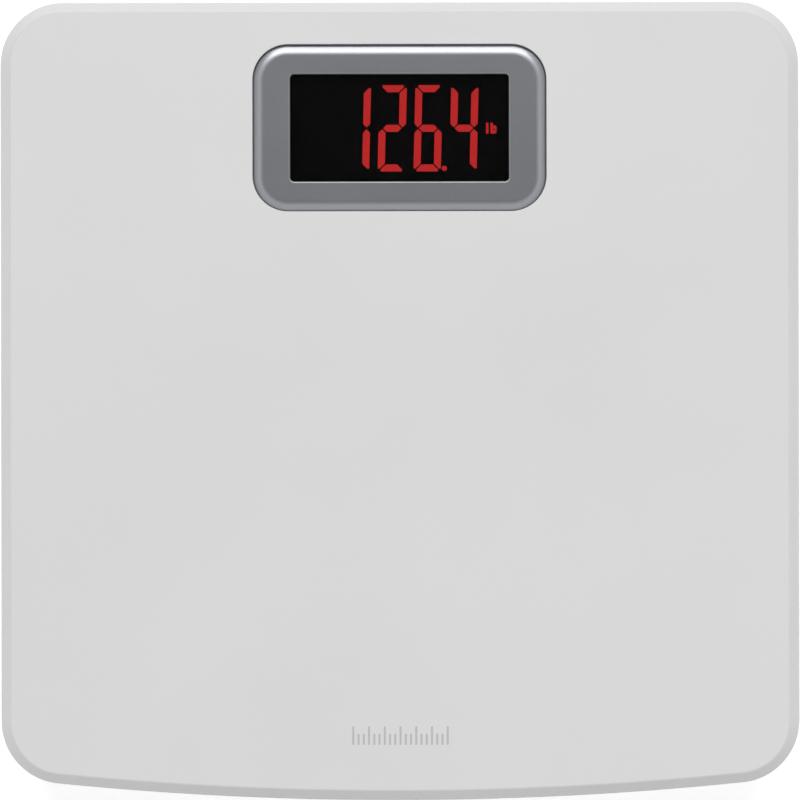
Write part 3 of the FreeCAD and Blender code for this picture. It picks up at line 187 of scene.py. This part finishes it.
def outline(bm, arcs, z):
    """Closed loop of edges through arcs in plan: centre, radius, start angle, sweep, steps."""
    before = set(bm.verts)
    ends = []
    for (cx, cy), radius, start, sweep, steps in arcs:
        turn = math.radians(start)
        first = bm.verts.new((cx + radius * math.cos(turn), cy + radius * math.sin(turn), z))
        swept = bmesh.ops.spin(bm, geom=[first], cent=(cx, cy, z), axis=(0, 0, 1),
                               angle=math.radians(sweep), steps=steps, use_duplicate=False)
        last = [g for g in swept["geom_last"] if isinstance(g, bmesh.types.BMVert)][0]
        ends.append((first, last))
    for (_, last), (first, _) in zip(ends, ends[1:] + ends[:1]):
        bm.edges.new((last, first))
    bmesh.ops.remove_doubles(bm, verts=[v for v in bm.verts if v not in before], dist=WELD)
    return [e for e in bm.edges if e.verts[0] not in before and e.verts[1] not in before]


def platform_loop(bm, inset, z):
    """The scale's plan outline, moved inwards: straight rear and sides, bowed front."""
    cx = PLATFORM_W / 2 - CORNER_R
    rear_y = PLATFORM_D / 2 - CORNER_R
    bow_y = FRONT_BOW_R - PLATFORM_D / 2
    front_y = bow_y - math.sqrt((FRONT_BOW_R - CORNER_R) ** 2 - cx ** 2)
    tilt = math.degrees(math.asin(cx / (FRONT_BOW_R - CORNER_R)))
    radius = CORNER_R - inset
    return outline(bm, [
        ((cx, rear_y), radius, 0, 90, ROUND_STEPS),
        ((-cx, rear_y), radius, 90, 90, ROUND_STEPS),
        ((-cx, front_y), radius, 180, 90 - tilt, ROUND_STEPS),
        ((0, bow_y), FRONT_BOW_R - inset, 270 - tilt, 2 * tilt, BOW_STEPS),
        ((cx, front_y), radius, 270 + tilt, 90 - tilt, ROUND_STEPS),
    ], z)


def rounded_loop(bm, x, y, width, depth, radius, z):
    """Rounded rectangle round a place in plan."""
    cx, cy = width / 2 - radius, depth / 2 - radius
    corners = ((cx, cy, 0), (-cx, cy, 90), (-cx, -cy, 180), (cx, -cy, 270))
    arcs = [((x + dx, y + dy), radius, start, 90, ROUND_STEPS) for dx, dy, start in corners]
    return outline(bm, arcs, z)


def display_loop(bm, width, depth, radius, z):
    """Rounded rectangle round the middle of the display."""
    return rounded_loop(bm, 0, DISPLAY_Y, width, depth, radius, z)


def stacked(bm, loop_at, sections, closed=False):
    """Walls through sections, one after another and back to the first if closed, then welded."""
    following = sections[1:] + sections[:1] if closed else sections[1:]
    for this, after in zip(sections, following):
        bmesh.ops.bridge_loops(bm, edges=loop_at(bm, *this) + loop_at(bm, *after))
    bmesh.ops.remove_doubles(bm, verts=bm.verts, dist=WELD)


def creases(bm, z, at_least, at_most=180.0):
    """Edges that lie flat at one height and turn by an angle in this range, in degrees."""
    flat = [e for e in bm.edges if all(abs(v.co.z - z) < WELD for v in e.verts) and e.is_manifold]
    return [e for e in flat if at_least < math.degrees(e.calc_face_angle()) < at_most]


def rims(bm, z):
    """Open edges at one height."""
    return [e for e in bm.edges if e.is_boundary and all(abs(v.co.z - z) < WELD for v in e.verts)]


def eased(bm, edges, offset, segments):
    """Rounds these edges."""
    bmesh.ops.bevel(bm, geom=edges, offset=offset, offset_type="OFFSET", affect="EDGES",
                    segments=segments, profile=0.5, material=-1)


def bar_loop(bm, x, low_y, width, height, z):
    """Outline of one printed bar."""
    corners = [bm.verts.new((x + side * width / 2, low_y + up * height, z))
               for side, up in ((-1, 0), (1, 0), (1, 1), (-1, 1))]
    return [bm.edges.new(pair) for pair in zip(corners, corners[1:] + corners[:1])]


def printed_face(bm, outer, bars, normal):
    """Fills the face inside an outline, with its bars in the print's finish."""
    edges = outer + [edge for bar in bars for edge in bar]
    bmesh.ops.triangle_fill(bm, edges=edges, use_beauty=True, normal=normal)
    for bar in bars:
        for face in bmesh.ops.contextual_create(bm, geom=bar)["faces"]:
            face.material_index = PRINT


def made_piece(name, bm, body, finishes, stands_for):
    """Turns the bmesh into a piece that rides its body and stands for its CAD nodes."""
    bmesh.ops.recalc_face_normals(bm, faces=bm.faces)
    mesh = bpy.data.meshes.new(name)
    bm.to_mesh(mesh)
    bm.free()
    mesh.shade_smooth()
    mesh.set_sharp_from_angle(angle=math.radians(SMOOTH_LIMIT))
    piece = bpy.data.objects.new(name, mesh)
    bpy.context.scene.collection.objects.link(piece)
    for finish in finishes:
        mesh.materials.append(finish)
    evened = piece.modifiers.new("evened_shading", "WEIGHTED_NORMAL")
    evened.keep_sharp = True
    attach(piece, body)
    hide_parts(*stands_for)
    return piece


# Finishes


def plain_finish(name, roughness, **sockets):
    """A finish with this roughness, and any other shader socket by its name."""
    finish = bpy.data.materials.new(name)
    finish.use_nodes = True
    shader = finish.node_tree.nodes["Principled BSDF"]
    shader.inputs["Roughness"].default_value = roughness
    for socket, value in sockets.items():
        shader.inputs[socket.replace("_", " ")].default_value = value
    return finish


def noise_of(finish, scale, detail, stretch=(1.0, 1.0, 1.0)):
    """Noise through the piece's own space, with its scale per metre."""
    nodes, links = finish.node_tree.nodes, finish.node_tree.links
    place = nodes.new("ShaderNodeTexCoord")
    mapping = nodes.new("ShaderNodeMapping")
    mapping.inputs["Scale"].default_value = stretch
    noise = nodes.new("ShaderNodeTexNoise")
    noise.inputs["Scale"].default_value = scale
    noise.inputs["Detail"].default_value = detail
    links.new(place.outputs["Object"], mapping.inputs["Vector"])
    links.new(mapping.outputs["Vector"], noise.inputs["Vector"])
    return noise.outputs["Fac"]


def mottled(finish, tone, drift, scale, stretch=(1.0, 1.0, 1.0)):
    """A tone that drifts a little darker and lighter, by this share of itself."""
    nodes, links = finish.node_tree.nodes, finish.node_tree.links
    ramp = nodes.new("ShaderNodeValToRGB")
    darker, lighter = ramp.color_ramp.elements
    darker.position, lighter.position = RAMP_ENDS
    darker.color = (*[part * (1 - drift) for part in tone], 1.0)
    lighter.color = (*[part * (1 + drift) for part in tone], 1.0)
    links.new(noise_of(finish, scale, MOTTLE_DETAIL, stretch), ramp.inputs["Fac"])
    links.new(ramp.outputs["Color"], nodes["Principled BSDF"].inputs["Base Color"])
    return ramp


def uneven_gloss(finish, low, high, scale):
    """Roughness that drifts between two values, as handled plastic has."""
    nodes, links = finish.node_tree.nodes, finish.node_tree.links
    span = nodes.new("ShaderNodeMapRange")
    span.inputs["From Min"].default_value, span.inputs["From Max"].default_value = GLOSS_ENDS
    span.inputs["To Min"].default_value = low
    span.inputs["To Max"].default_value = high
    links.new(noise_of(finish, scale, GLOSS_DETAIL), span.inputs["Value"])
    links.new(span.outputs["Result"], nodes["Principled BSDF"].inputs["Roughness"])


def grained(finish, scale, height, stretch=(1.0, 1.0, 1.0)):
    """Fine relief, as a spark-eroded mould or a drawn sheet has."""
    nodes, links = finish.node_tree.nodes, finish.node_tree.links
    bump = nodes.new("ShaderNodeBump")
    bump.inputs["Distance"].default_value = height
    links.new(noise_of(finish, scale, GRAIN_DETAIL, stretch), bump.inputs["Height"])
    links.new(bump.outputs["Normal"], nodes["Principled BSDF"].inputs["Normal"])


def white_shell():
    """Satin white of the moulded cover."""
    finish = plain_finish("white_shell", roughness=0.42, Specular_IOR_Level=0.22)
    mottled(finish, tone=(0.732, 0.733, 0.736), drift=0.012, scale=9.0)
    uneven_gloss(finish, low=0.38, high=0.46, scale=30.0)
    grained(finish, scale=2600.0, height=0.010 * MM)
    return finish


def cover_edge_painted_shade():
    """Smoother copy of the cover's white on the bevel and skirt, its darker tone painted shade."""
    finish = plain_finish("cover_edge_painted_shade", roughness=0.36, Specular_IOR_Level=0.22)
    mottled(finish, tone=(0.675, 0.675, 0.681), drift=0.012, scale=12.0)
    uneven_gloss(finish, low=0.33, high=0.40, scale=30.0)
    grained(finish, scale=3200.0, height=0.005 * MM)
    return finish


def mark_print():
    """Thin grey ink of the graduation mark."""
    finish = plain_finish("mark_print", roughness=0.5, Specular_IOR_Level=0.3)
    mottled(finish, tone=(0.52, 0.522, 0.532), drift=0.03, scale=900.0)
    return finish


def white_tray():
    """Duller, coarser white of the tray and the battery door."""
    finish = plain_finish("white_tray", roughness=0.5)
    mottled(finish, tone=(0.69, 0.69, 0.688), drift=0.022, scale=14.0)
    uneven_gloss(finish, low=0.46, high=0.58, scale=40.0)
    grained(finish, scale=1800.0, height=0.03 * MM)
    return finish


def silver_bezel():
    """Silver-grey paint with fine metal flake."""
    finish = plain_finish("silver_bezel", roughness=0.31, Metallic=0.76)
    mottled(finish, tone=(0.360, 0.372, 0.398), drift=0.028, scale=1500.0)
    uneven_gloss(finish, low=0.30, high=0.325, scale=25.0)
    grained(finish, scale=3800.0, height=0.004 * MM)
    return finish


def smoked_lens():
    """Dark clear acrylic with a polished face."""
    finish = plain_finish("smoked_lens", roughness=0.03, Transmission_Weight=1.0, IOR=1.49)
    mottled(finish, tone=(0.305, 0.305, 0.308), drift=0.02, scale=20.0)
    uneven_gloss(finish, low=0.02, high=0.035, scale=50.0)
    return finish


def lit_red():
    """Diffuser of a lit segment, glowing red."""
    finish = plain_finish("lit_red", roughness=0.5, Emission_Strength=1.48,
                          Emission_Color=(1.0, 0.043, 0.042, 1.0))
    mottled(finish, tone=(0.5, 0.025, 0.02), drift=0.1, scale=400.0)
    return finish


def unlit_red():
    """Diffuser of a dark segment, close to the black round it."""
    finish = plain_finish("unlit_red", roughness=0.5)
    mottled(finish, tone=(0.02, 0.0065, 0.0065), drift=0.2, scale=400.0)
    return finish


def module_black():
    """Moulded face of the display module, and the battery snap."""
    finish = plain_finish("module_black", roughness=0.6)
    mottled(finish, tone=(0.0125, 0.0125, 0.0135), drift=0.25, scale=700.0)
    grained(finish, scale=2500.0, height=0.02 * MM)
    return finish


def black_tape():
    """Black foam tape round the window."""
    finish = plain_finish("black_tape", roughness=0.7)
    mottled(finish, tone=(0.02, 0.02, 0.0205), drift=0.2, scale=500.0)
    grained(finish, scale=1500.0, height=0.02 * MM)
    return finish


def label_foil():
    """Satin foil with lines across it from rolling."""
    finish = plain_finish("label_foil", roughness=0.45, Metallic=0.6)
    mottled(finish, tone=(0.6, 0.6, 0.61), drift=0.05, scale=60.0)
    grained(finish, scale=900.0, height=0.01 * MM, stretch=ROLLED)
    return finish


def label_ink():
    """Dark print on the label."""
    finish = plain_finish("label_ink", roughness=0.55)
    mottled(finish, tone=(0.045, 0.047, 0.052), drift=0.1, scale=700.0)
    return finish


def screw_steel():
    """Zinc plate, a little uneven."""
    finish = plain_finish("screw_steel", roughness=0.35, Metallic=1.0)
    mottled(finish, tone=(0.55, 0.54, 0.52), drift=0.09, scale=500.0)
    uneven_gloss(finish, low=0.28, high=0.44, scale=400.0)
    grained(finish, scale=2500.0, height=0.01 * MM)
    return finish


def tinned_wire():
    """Soldered pins."""
    finish = plain_finish("tinned_wire", roughness=0.3, Metallic=1.0)
    mottled(finish, tone=(0.69, 0.68, 0.66), drift=0.07, scale=900.0)
    return finish


def board_green():
    """Solder mask over the board's weave."""
    finish = plain_finish("board_green", roughness=0.35)
    mottled(finish, tone=(0.02, 0.13, 0.05), drift=0.2, scale=200.0)
    grained(finish, scale=1200.0, height=0.01 * MM)
    return finish


def chip_black():
    """Moulded epoxy of chips, resistors and the switch."""
    finish = plain_finish("chip_black", roughness=0.55)
    mottled(finish, tone=(0.021, 0.021, 0.023), drift=0.2, scale=900.0)
    return finish


def crystal_can():
    """Plated sheet metal of the crystal and the terminals."""
    finish = plain_finish("crystal_can", roughness=0.28, Metallic=1.0)
    mottled(finish, tone=(0.7, 0.69, 0.66), drift=0.06, scale=300.0)
    return finish


def capacitor_sleeve():
    """Dark blue shrunk sleeve."""
    finish = plain_finish("capacitor_sleeve", roughness=0.35)
    mottled(finish, tone=(0.02, 0.031, 0.08), drift=0.15, scale=400.0)
    return finish


def connector_ivory():
    """Ivory nylon of sockets and plugs."""
    finish = plain_finish("connector_ivory", roughness=0.45, Subsurface_Weight=0.1)
    mottled(finish, tone=(0.72, 0.68, 0.56), drift=0.04, scale=300.0)
    return finish


def button_grey():
    """Grey of the unit button and the switch's stem."""
    finish = plain_finish("button_grey", roughness=0.5)
    mottled(finish, tone=(0.30, 0.31, 0.32), drift=0.05, scale=200.0)
    grained(finish, scale=1800.0, height=0.02 * MM)
    return finish


def battery_case():
    """Glossy dark wrap with a pale band near the terminals."""
    finish = plain_finish("battery_case", roughness=0.28)
    nodes, links = finish.node_tree.nodes, finish.node_tree.links
    front, rear = [corner.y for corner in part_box("battery")]
    ramp = mottled(finish, tone=(0.031, 0.034, 0.042), drift=0.12, scale=60.0)
    place = nodes.new("ShaderNodeTexCoord")
    split = nodes.new("ShaderNodeSeparateXYZ")
    along = nodes.new("ShaderNodeMapRange")
    along.inputs["From Min"].default_value = front
    along.inputs["From Max"].default_value = rear
    band = nodes.new("ShaderNodeValToRGB")
    band.color_ramp.interpolation = "CONSTANT"
    starts, ends = band.color_ramp.elements
    starts.position, starts.color = BAND_STARTS, WHITE
    ends.position, ends.color = BAND_ENDS, BLACK
    below = band.color_ramp.elements.new(0.0)
    below.color = BLACK
    blend = nodes.new("ShaderNodeMix")
    blend.data_type = "RGBA"
    blend.inputs["B"].default_value = BAND_TONE
    links.new(place.outputs["Object"], split.inputs["Vector"])
    links.new(split.outputs["Y"], along.inputs["Value"])
    links.new(along.outputs["Result"], band.inputs["Fac"])
    links.new(band.outputs["Color"], blend.inputs["Factor"])
    links.new(ramp.outputs["Color"], blend.inputs["A"])
    links.new(blend.outputs["Result"], nodes["Principled BSDF"].inputs["Base Color"])
    grained(finish, scale=700.0, height=0.01 * MM)
    return finish


def lead_red():
    """Soft red insulation."""
    finish = plain_finish("lead_red", roughness=0.4)
    mottled(finish, tone=(0.5, 0.02, 0.015), drift=0.1, scale=300.0)
    return finish


def lead_black():
    """Soft black insulation."""
    finish = plain_finish("lead_black", roughness=0.4)
    mottled(finish, tone=(0.015, 0.015, 0.016), drift=0.2, scale=300.0)
    return finish


def lead_white():
    """Soft white insulation."""
    finish = plain_finish("lead_white", roughness=0.4)
    mottled(finish, tone=(0.7, 0.7, 0.68), drift=0.05, scale=300.0)
    return finish


def pad_rubber():
    """Matte rubber, scuffed where it stands."""
    finish = plain_finish("pad_rubber", roughness=0.8)
    mottled(finish, tone=(0.046, 0.046, 0.049), drift=0.22, scale=250.0)
    uneven_gloss(finish, low=0.7, high=0.9, scale=120.0)
    grained(finish, scale=1500.0, height=0.05 * MM)
    return finish


def foot_grey():
    """Pale grey cup round each pad."""
    finish = plain_finish("foot_grey", roughness=0.5)
    mottled(finish, tone=(0.36, 0.37, 0.38), drift=0.04, scale=80.0)
    uneven_gloss(finish, low=0.45, high=0.56, scale=60.0)
    grained(finish, scale=1800.0, height=0.03 * MM)
    return finish


def cell_steel():
    """Ground spring steel of the load cells."""
    finish = plain_finish("cell_steel", roughness=0.35, Metallic=1.0)
    mottled(finish, tone=(0.6, 0.6, 0.58), drift=0.07, scale=200.0)
    grained(finish, scale=900.0, height=0.01 * MM, stretch=ROLLED)
    return finish


def potting():
    """Silicone over the strain gauges."""
    finish = plain_finish("potting", roughness=0.4, Subsurface_Weight=0.1)
    mottled(finish, tone=(0.75, 0.73, 0.66), drift=0.04, scale=300.0)
    return finish


def seat_plastic():
    """Moulded seats of the load cells."""
    finish = plain_finish("seat_plastic", roughness=0.5)
    mottled(finish, tone=(0.6, 0.6, 0.6), drift=0.05, scale=90.0)
    grained(finish, scale=1800.0, height=0.03 * MM)
    return finish


FINISHES = (white_shell, cover_edge_painted_shade, mark_print, white_tray, silver_bezel, smoked_lens, lit_red,
            unlit_red, module_black, black_tape, label_foil, label_ink, screw_steel, tinned_wire,
            board_green, chip_black, crystal_can, capacitor_sleeve, connector_ivory, button_grey,
            battery_case, lead_red, lead_black, lead_white, pad_rubber, foot_grey, cell_steel,
            potting, seat_plastic)


def dress_nodes(finishes):
    """Gives each carried node the finish of its material slot."""
    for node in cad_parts.values():
        for holder in node.material_slots:
            holder.material = finishes[holder.material.name.split(".")[0]]


# Platform


def platform_cover(finishes):
    """White cover: bevelled tread with the display's aperture, skirt, and the collar below."""
    bm = bmesh.new()
    plate_z = TREAD_Z - PLATE_T
    stacked(bm, platform_loop, [
        (SKIRT_T, plate_z),
        (SKIRT_T, SEAM_Z),
        (0, SEAM_Z),
        (0, TREAD_Z - BEVEL_DROP),
        (BEVEL_W, TREAD_Z),
        (BEVEL_W + BEVEL_BLEND + SUPPORT, TREAD_Z),
    ])
    stacked(bm, aperture_loop, [
        (APERTURE_EDGE + SUPPORT, TREAD_Z),
        (0, TREAD_Z),
        (0, LEDGE_Z),
        (-LEDGE_W, LEDGE_Z),
        (-LEDGE_W, BOARD_TOP_Z),
        (COLLAR_T - LEDGE_W, BOARD_TOP_Z),
        (COLLAR_T - LEDGE_W, LEDGE_Z - LEDGE_T),
        (COLLAR_T, LEDGE_Z - LEDGE_T),
        (COLLAR_T, plate_z),
    ])
    open_top, open_under = rims(bm, TREAD_Z), rims(bm, plate_z)
    printed_face(bm, open_top, mark_loops(bm), (0, 0, 1))
    printed_face(bm, open_under, [], (0, 0, -1))
    bmesh.ops.recalc_face_normals(bm, faces=bm.faces)
    eased(bm, creases(bm, TREAD_Z, SLIGHT_TURN, STEEP_TURN), BEVEL_BLEND, BLEND_STEPS)
    eased(bm, creases(bm, TREAD_Z - BEVEL_DROP, FIRM_TURN), BEVEL_EDGE, BEVEL_EDGE_STEPS)
    eased(bm, creases(bm, SEAM_Z, STEEP_TURN), SKIRT_EDGE_R, SMALL_EDGE_STEPS)
    eased(bm, creases(bm, TREAD_Z, STEEP_TURN), APERTURE_EDGE, EDGE_STEPS)
    # Faces that reach below the tread take the darker copy of the white: painted shade on the bevel, skirt
    # and hollows
    for face in bm.faces:
        if min(vert.co.z for vert in face.verts) < TREAD_Z - WELD:
            face.material_index = COVER_FINISHES.index("cover_edge_painted_shade")
    return made_piece("platform_cover", bm, "housing",
                      [finishes[name] for name in COVER_FINISHES], ["platform_shell"])


def aperture_loop(bm, grown, z):
    """Outline of the display's aperture, moved outwards."""
    width = BEZEL_W + 2 * (APERTURE_GAP + grown)
    depth = BEZEL_D + 2 * (APERTURE_GAP + grown)
    return display_loop(bm, width, depth, APERTURE_R + grown, z)


def mark_loops(bm):
    """Outlines of the graduation ticks, long ones at an even spacing."""
    middle = MARK_TICKS // 2
    low_y = MARK_Y - PLATFORM_D / 2 - MARK_LONG / 2
    heights = [MARK_SHORT if (i - middle) % MARK_LONG_EVERY else MARK_LONG for i in range(MARK_TICKS)]
    return [bar_loop(bm, (i - middle) * MARK_PITCH, low_y, MARK_TICK_W, height, TREAD_Z)
            for i, height in enumerate(heights)]


# Display


def bezel_frame(finishes):
    """Silver frame with a soft sloping rim, a flat face and a chamfered window."""
    bm = bmesh.new()
    rim_in = 2 * RIM_W
    wall_in = 2 * BEZEL_WALL_T
    face_in = 2 * (RIM_W + RIM_SUPPORT)
    flare = 2 * WINDOW_CHAMFER
    under_z = BEZEL_TOP_Z - BEZEL_PLATE_T
    stacked(bm, display_loop, [
        (BEZEL_W, BEZEL_D, BEZEL_R, LEDGE_Z),
        (BEZEL_W, BEZEL_D, BEZEL_R, BEZEL_TOP_Z - RIM_DROP),
        (BEZEL_W - rim_in, BEZEL_D - rim_in, BEZEL_R - RIM_W, BEZEL_TOP_Z),
        (BEZEL_W - face_in, BEZEL_D - face_in, BEZEL_R - RIM_W - RIM_SUPPORT, BEZEL_TOP_Z),
        (WINDOW_W + flare, WINDOW_D + flare, WINDOW_R + WINDOW_CHAMFER, BEZEL_TOP_Z),
        (WINDOW_W, WINDOW_D, WINDOW_R, BEZEL_TOP_Z - WINDOW_CHAMFER),
        (WINDOW_W, WINDOW_D, WINDOW_R, under_z),
        (BEZEL_W - wall_in, BEZEL_D - wall_in, BEZEL_R - BEZEL_WALL_T, under_z),
        (BEZEL_W - wall_in, BEZEL_D - wall_in, BEZEL_R - BEZEL_WALL_T, LEDGE_Z),
    ], closed=True)
    bmesh.ops.recalc_face_normals(bm, faces=bm.faces)
    eased(bm, creases(bm, BEZEL_TOP_Z, SLIGHT_TURN, FIRM_TURN), RIM_BLEND, RIM_STEPS)
    eased(bm, creases(bm, BEZEL_TOP_Z - RIM_DROP, FIRM_TURN), RIM_EDGE, EDGE_STEPS)
    window_edges = creases(bm, BEZEL_TOP_Z, FIRM_TURN)
    window_edges += creases(bm, BEZEL_TOP_Z - WINDOW_CHAMFER, FIRM_TURN)
    eased(bm, window_edges, WINDOW_EDGE, EDGE_STEPS)
    return made_piece("bezel_frame", bm, "housing", [finishes["silver_bezel"]],
                      ["display_bezel"])


def window_lens(finishes):
    """Smoked acrylic plate behind the window."""
    bm = bmesh.new()
    stacked(bm, display_loop, [(LENS_W, LENS_D, WINDOW_R, LENS_Z), (LENS_W, LENS_D, WINDOW_R, LENS_TOP_Z)])
    bmesh.ops.contextual_create(bm, geom=rims(bm, LENS_Z))
    bmesh.ops.contextual_create(bm, geom=rims(bm, LENS_TOP_Z))
    edges = creases(bm, LENS_Z, STEEP_TURN) + creases(bm, LENS_TOP_Z, STEEP_TURN)
    eased(bm, edges, LENS_EDGE, SMALL_EDGE_STEPS)
    return made_piece("window_lens", bm, "housing", [finishes["smoked_lens"]],
                      ["display_lens"])


# Label


def label_sheet(finishes):
    """Foil label under the tray, with plain bars where its print is."""
    bm = bmesh.new()
    centre, width, depth, low_z, high_z = size_of("rating_label")
    stacked(bm, label_loop, [(centre, width, depth, high_z), (centre, width, depth, low_z)])
    bmesh.ops.contextual_create(bm, geom=rims(bm, high_z))
    printed_face(bm, rims(bm, low_z), label_bars(bm, centre, width, depth, low_z), (0, 0, -1))
    return made_piece("label_sheet", bm, "housing",
                      [finishes["label_foil"], finishes["label_ink"]], ["rating_label"])


def label_loop(bm, centre, width, depth, z):
    """Outline of the label."""
    return rounded_loop(bm, centre.x, centre.y, width, depth, LABEL_R, z)


def label_bars(bm, centre, width, depth, z):
    """Outlines of the heading bar, the rules below it and the block beside them."""
    left = centre.x - width / 2 + LABEL_BORDER
    top = centre.y + depth / 2 - LABEL_BORDER
    heading_w, heading_h = HEADING_SIZE
    rule_w, rule_h = RULE_SIZE
    rules_y = top - heading_h - RULE_PITCH
    block_x = centre.x + width / 2 - LABEL_BORDER - BLOCK_SIDE / 2
    bars = [bar_loop(bm, left + heading_w / 2, top - heading_h, heading_w, heading_h, z)]
    bars += [bar_loop(bm, left + rule_w / 2, rules_y - i * RULE_PITCH, rule_w, rule_h, z)
             for i in range(RULES)]
    return bars + [bar_loop(bm, block_x, centre.y - BLOCK_SIDE / 2, BLOCK_SIDE, BLOCK_SIDE, z)]


# Floor, light and camera


def studio_floor():
    """Wide pale floor, lit a little from within so that it stays near white."""
    bm = bmesh.new()
    bmesh.ops.create_grid(bm, x_segments=FLOOR_CELLS, y_segments=FLOOR_CELLS, size=FLOOR_SIZE)
    mesh = bpy.data.meshes.new("studio_floor")
    bm.to_mesh(mesh)
    bm.free()
    floor = bpy.data.objects.new("studio_floor", mesh)
    floor.location.z = -FLOOR_DROP
    bpy.context.scene.collection.objects.link(floor)
    mesh.materials.append(plain_finish(
        "floor_paper", roughness=0.9, Specular_IOR_Level=0.1, Base_Color=(*FLOOR_TONE, 1.0),
        Emission_Color=WHITE, Emission_Strength=FLOOR_GLOW))


def studio_sky():
    """Even light from all round, dim straight above."""
    world = bpy.data.worlds.new("studio_sky")
    bpy.context.scene.world = world
    world.use_nodes = True
    nodes, links = world.node_tree.nodes, world.node_tree.links
    place = nodes.new("ShaderNodeTexCoord")
    split = nodes.new("ShaderNodeSeparateXYZ")
    ramp = nodes.new("ShaderNodeValToRGB")
    stops = ramp.color_ramp.elements
    while len(stops) < len(SKY):
        stops.new(1.0)
    for stop, (height, light) in zip(stops, SKY):
        stop.position = height
        stop.color = (light, light, light, 1.0)
    links.new(place.outputs["Generated"], split.inputs["Vector"])
    links.new(split.outputs["Z"], ramp.inputs["Fac"])
    links.new(ramp.outputs["Color"], nodes["Background"].inputs["Color"])


def soft_light(name, place, size, power):
    """Rectangular soft box aimed at the scale."""
    lamp = bpy.data.lights.new(name, "AREA")
    lamp.shape = "RECTANGLE"
    lamp.size, lamp.size_y = size
    lamp.energy = power
    holder = bpy.data.objects.new(name, lamp)
    holder.location = place
    holder.rotation_euler = (-Vector(place)).to_track_quat("-Z", "Y").to_euler()
    bpy.context.scene.collection.objects.link(holder)


def overhead_camera():
    """Camera straight above the tread."""
    data = bpy.data.cameras.new("overhead_camera")
    data.lens = CAMERA_LENS
    camera = bpy.data.objects.new("overhead_camera", data)
    camera.location = (*CAMERA_PLACE, CAMERA_HEIGHT)
    camera.rotation_euler = (0, 0, math.radians(CAMERA_TURN))
    bpy.context.scene.collection.objects.link(camera)
    bpy.context.scene.camera = camera


def studio():
    """Floor, soft light from the rear, and the camera."""
    studio_floor()
    studio_sky()
    rise = math.radians(KEY_ELEVATION)
    soft_light("rear_soft_box", (0, KEY_DISTANCE * math.cos(rise), KEY_DISTANCE * math.sin(rise)),
               KEY_SIZE, KEY_POWER)
    overhead_camera()
    bpy.context.scene.view_settings.view_transform = "Standard"


finishes = {finish.__name__: finish() for finish in FINISHES}
dress_nodes(finishes)
platform_cover(finishes)
bezel_frame(finishes)
window_lens(finishes)
label_sheet(finishes)
studio()
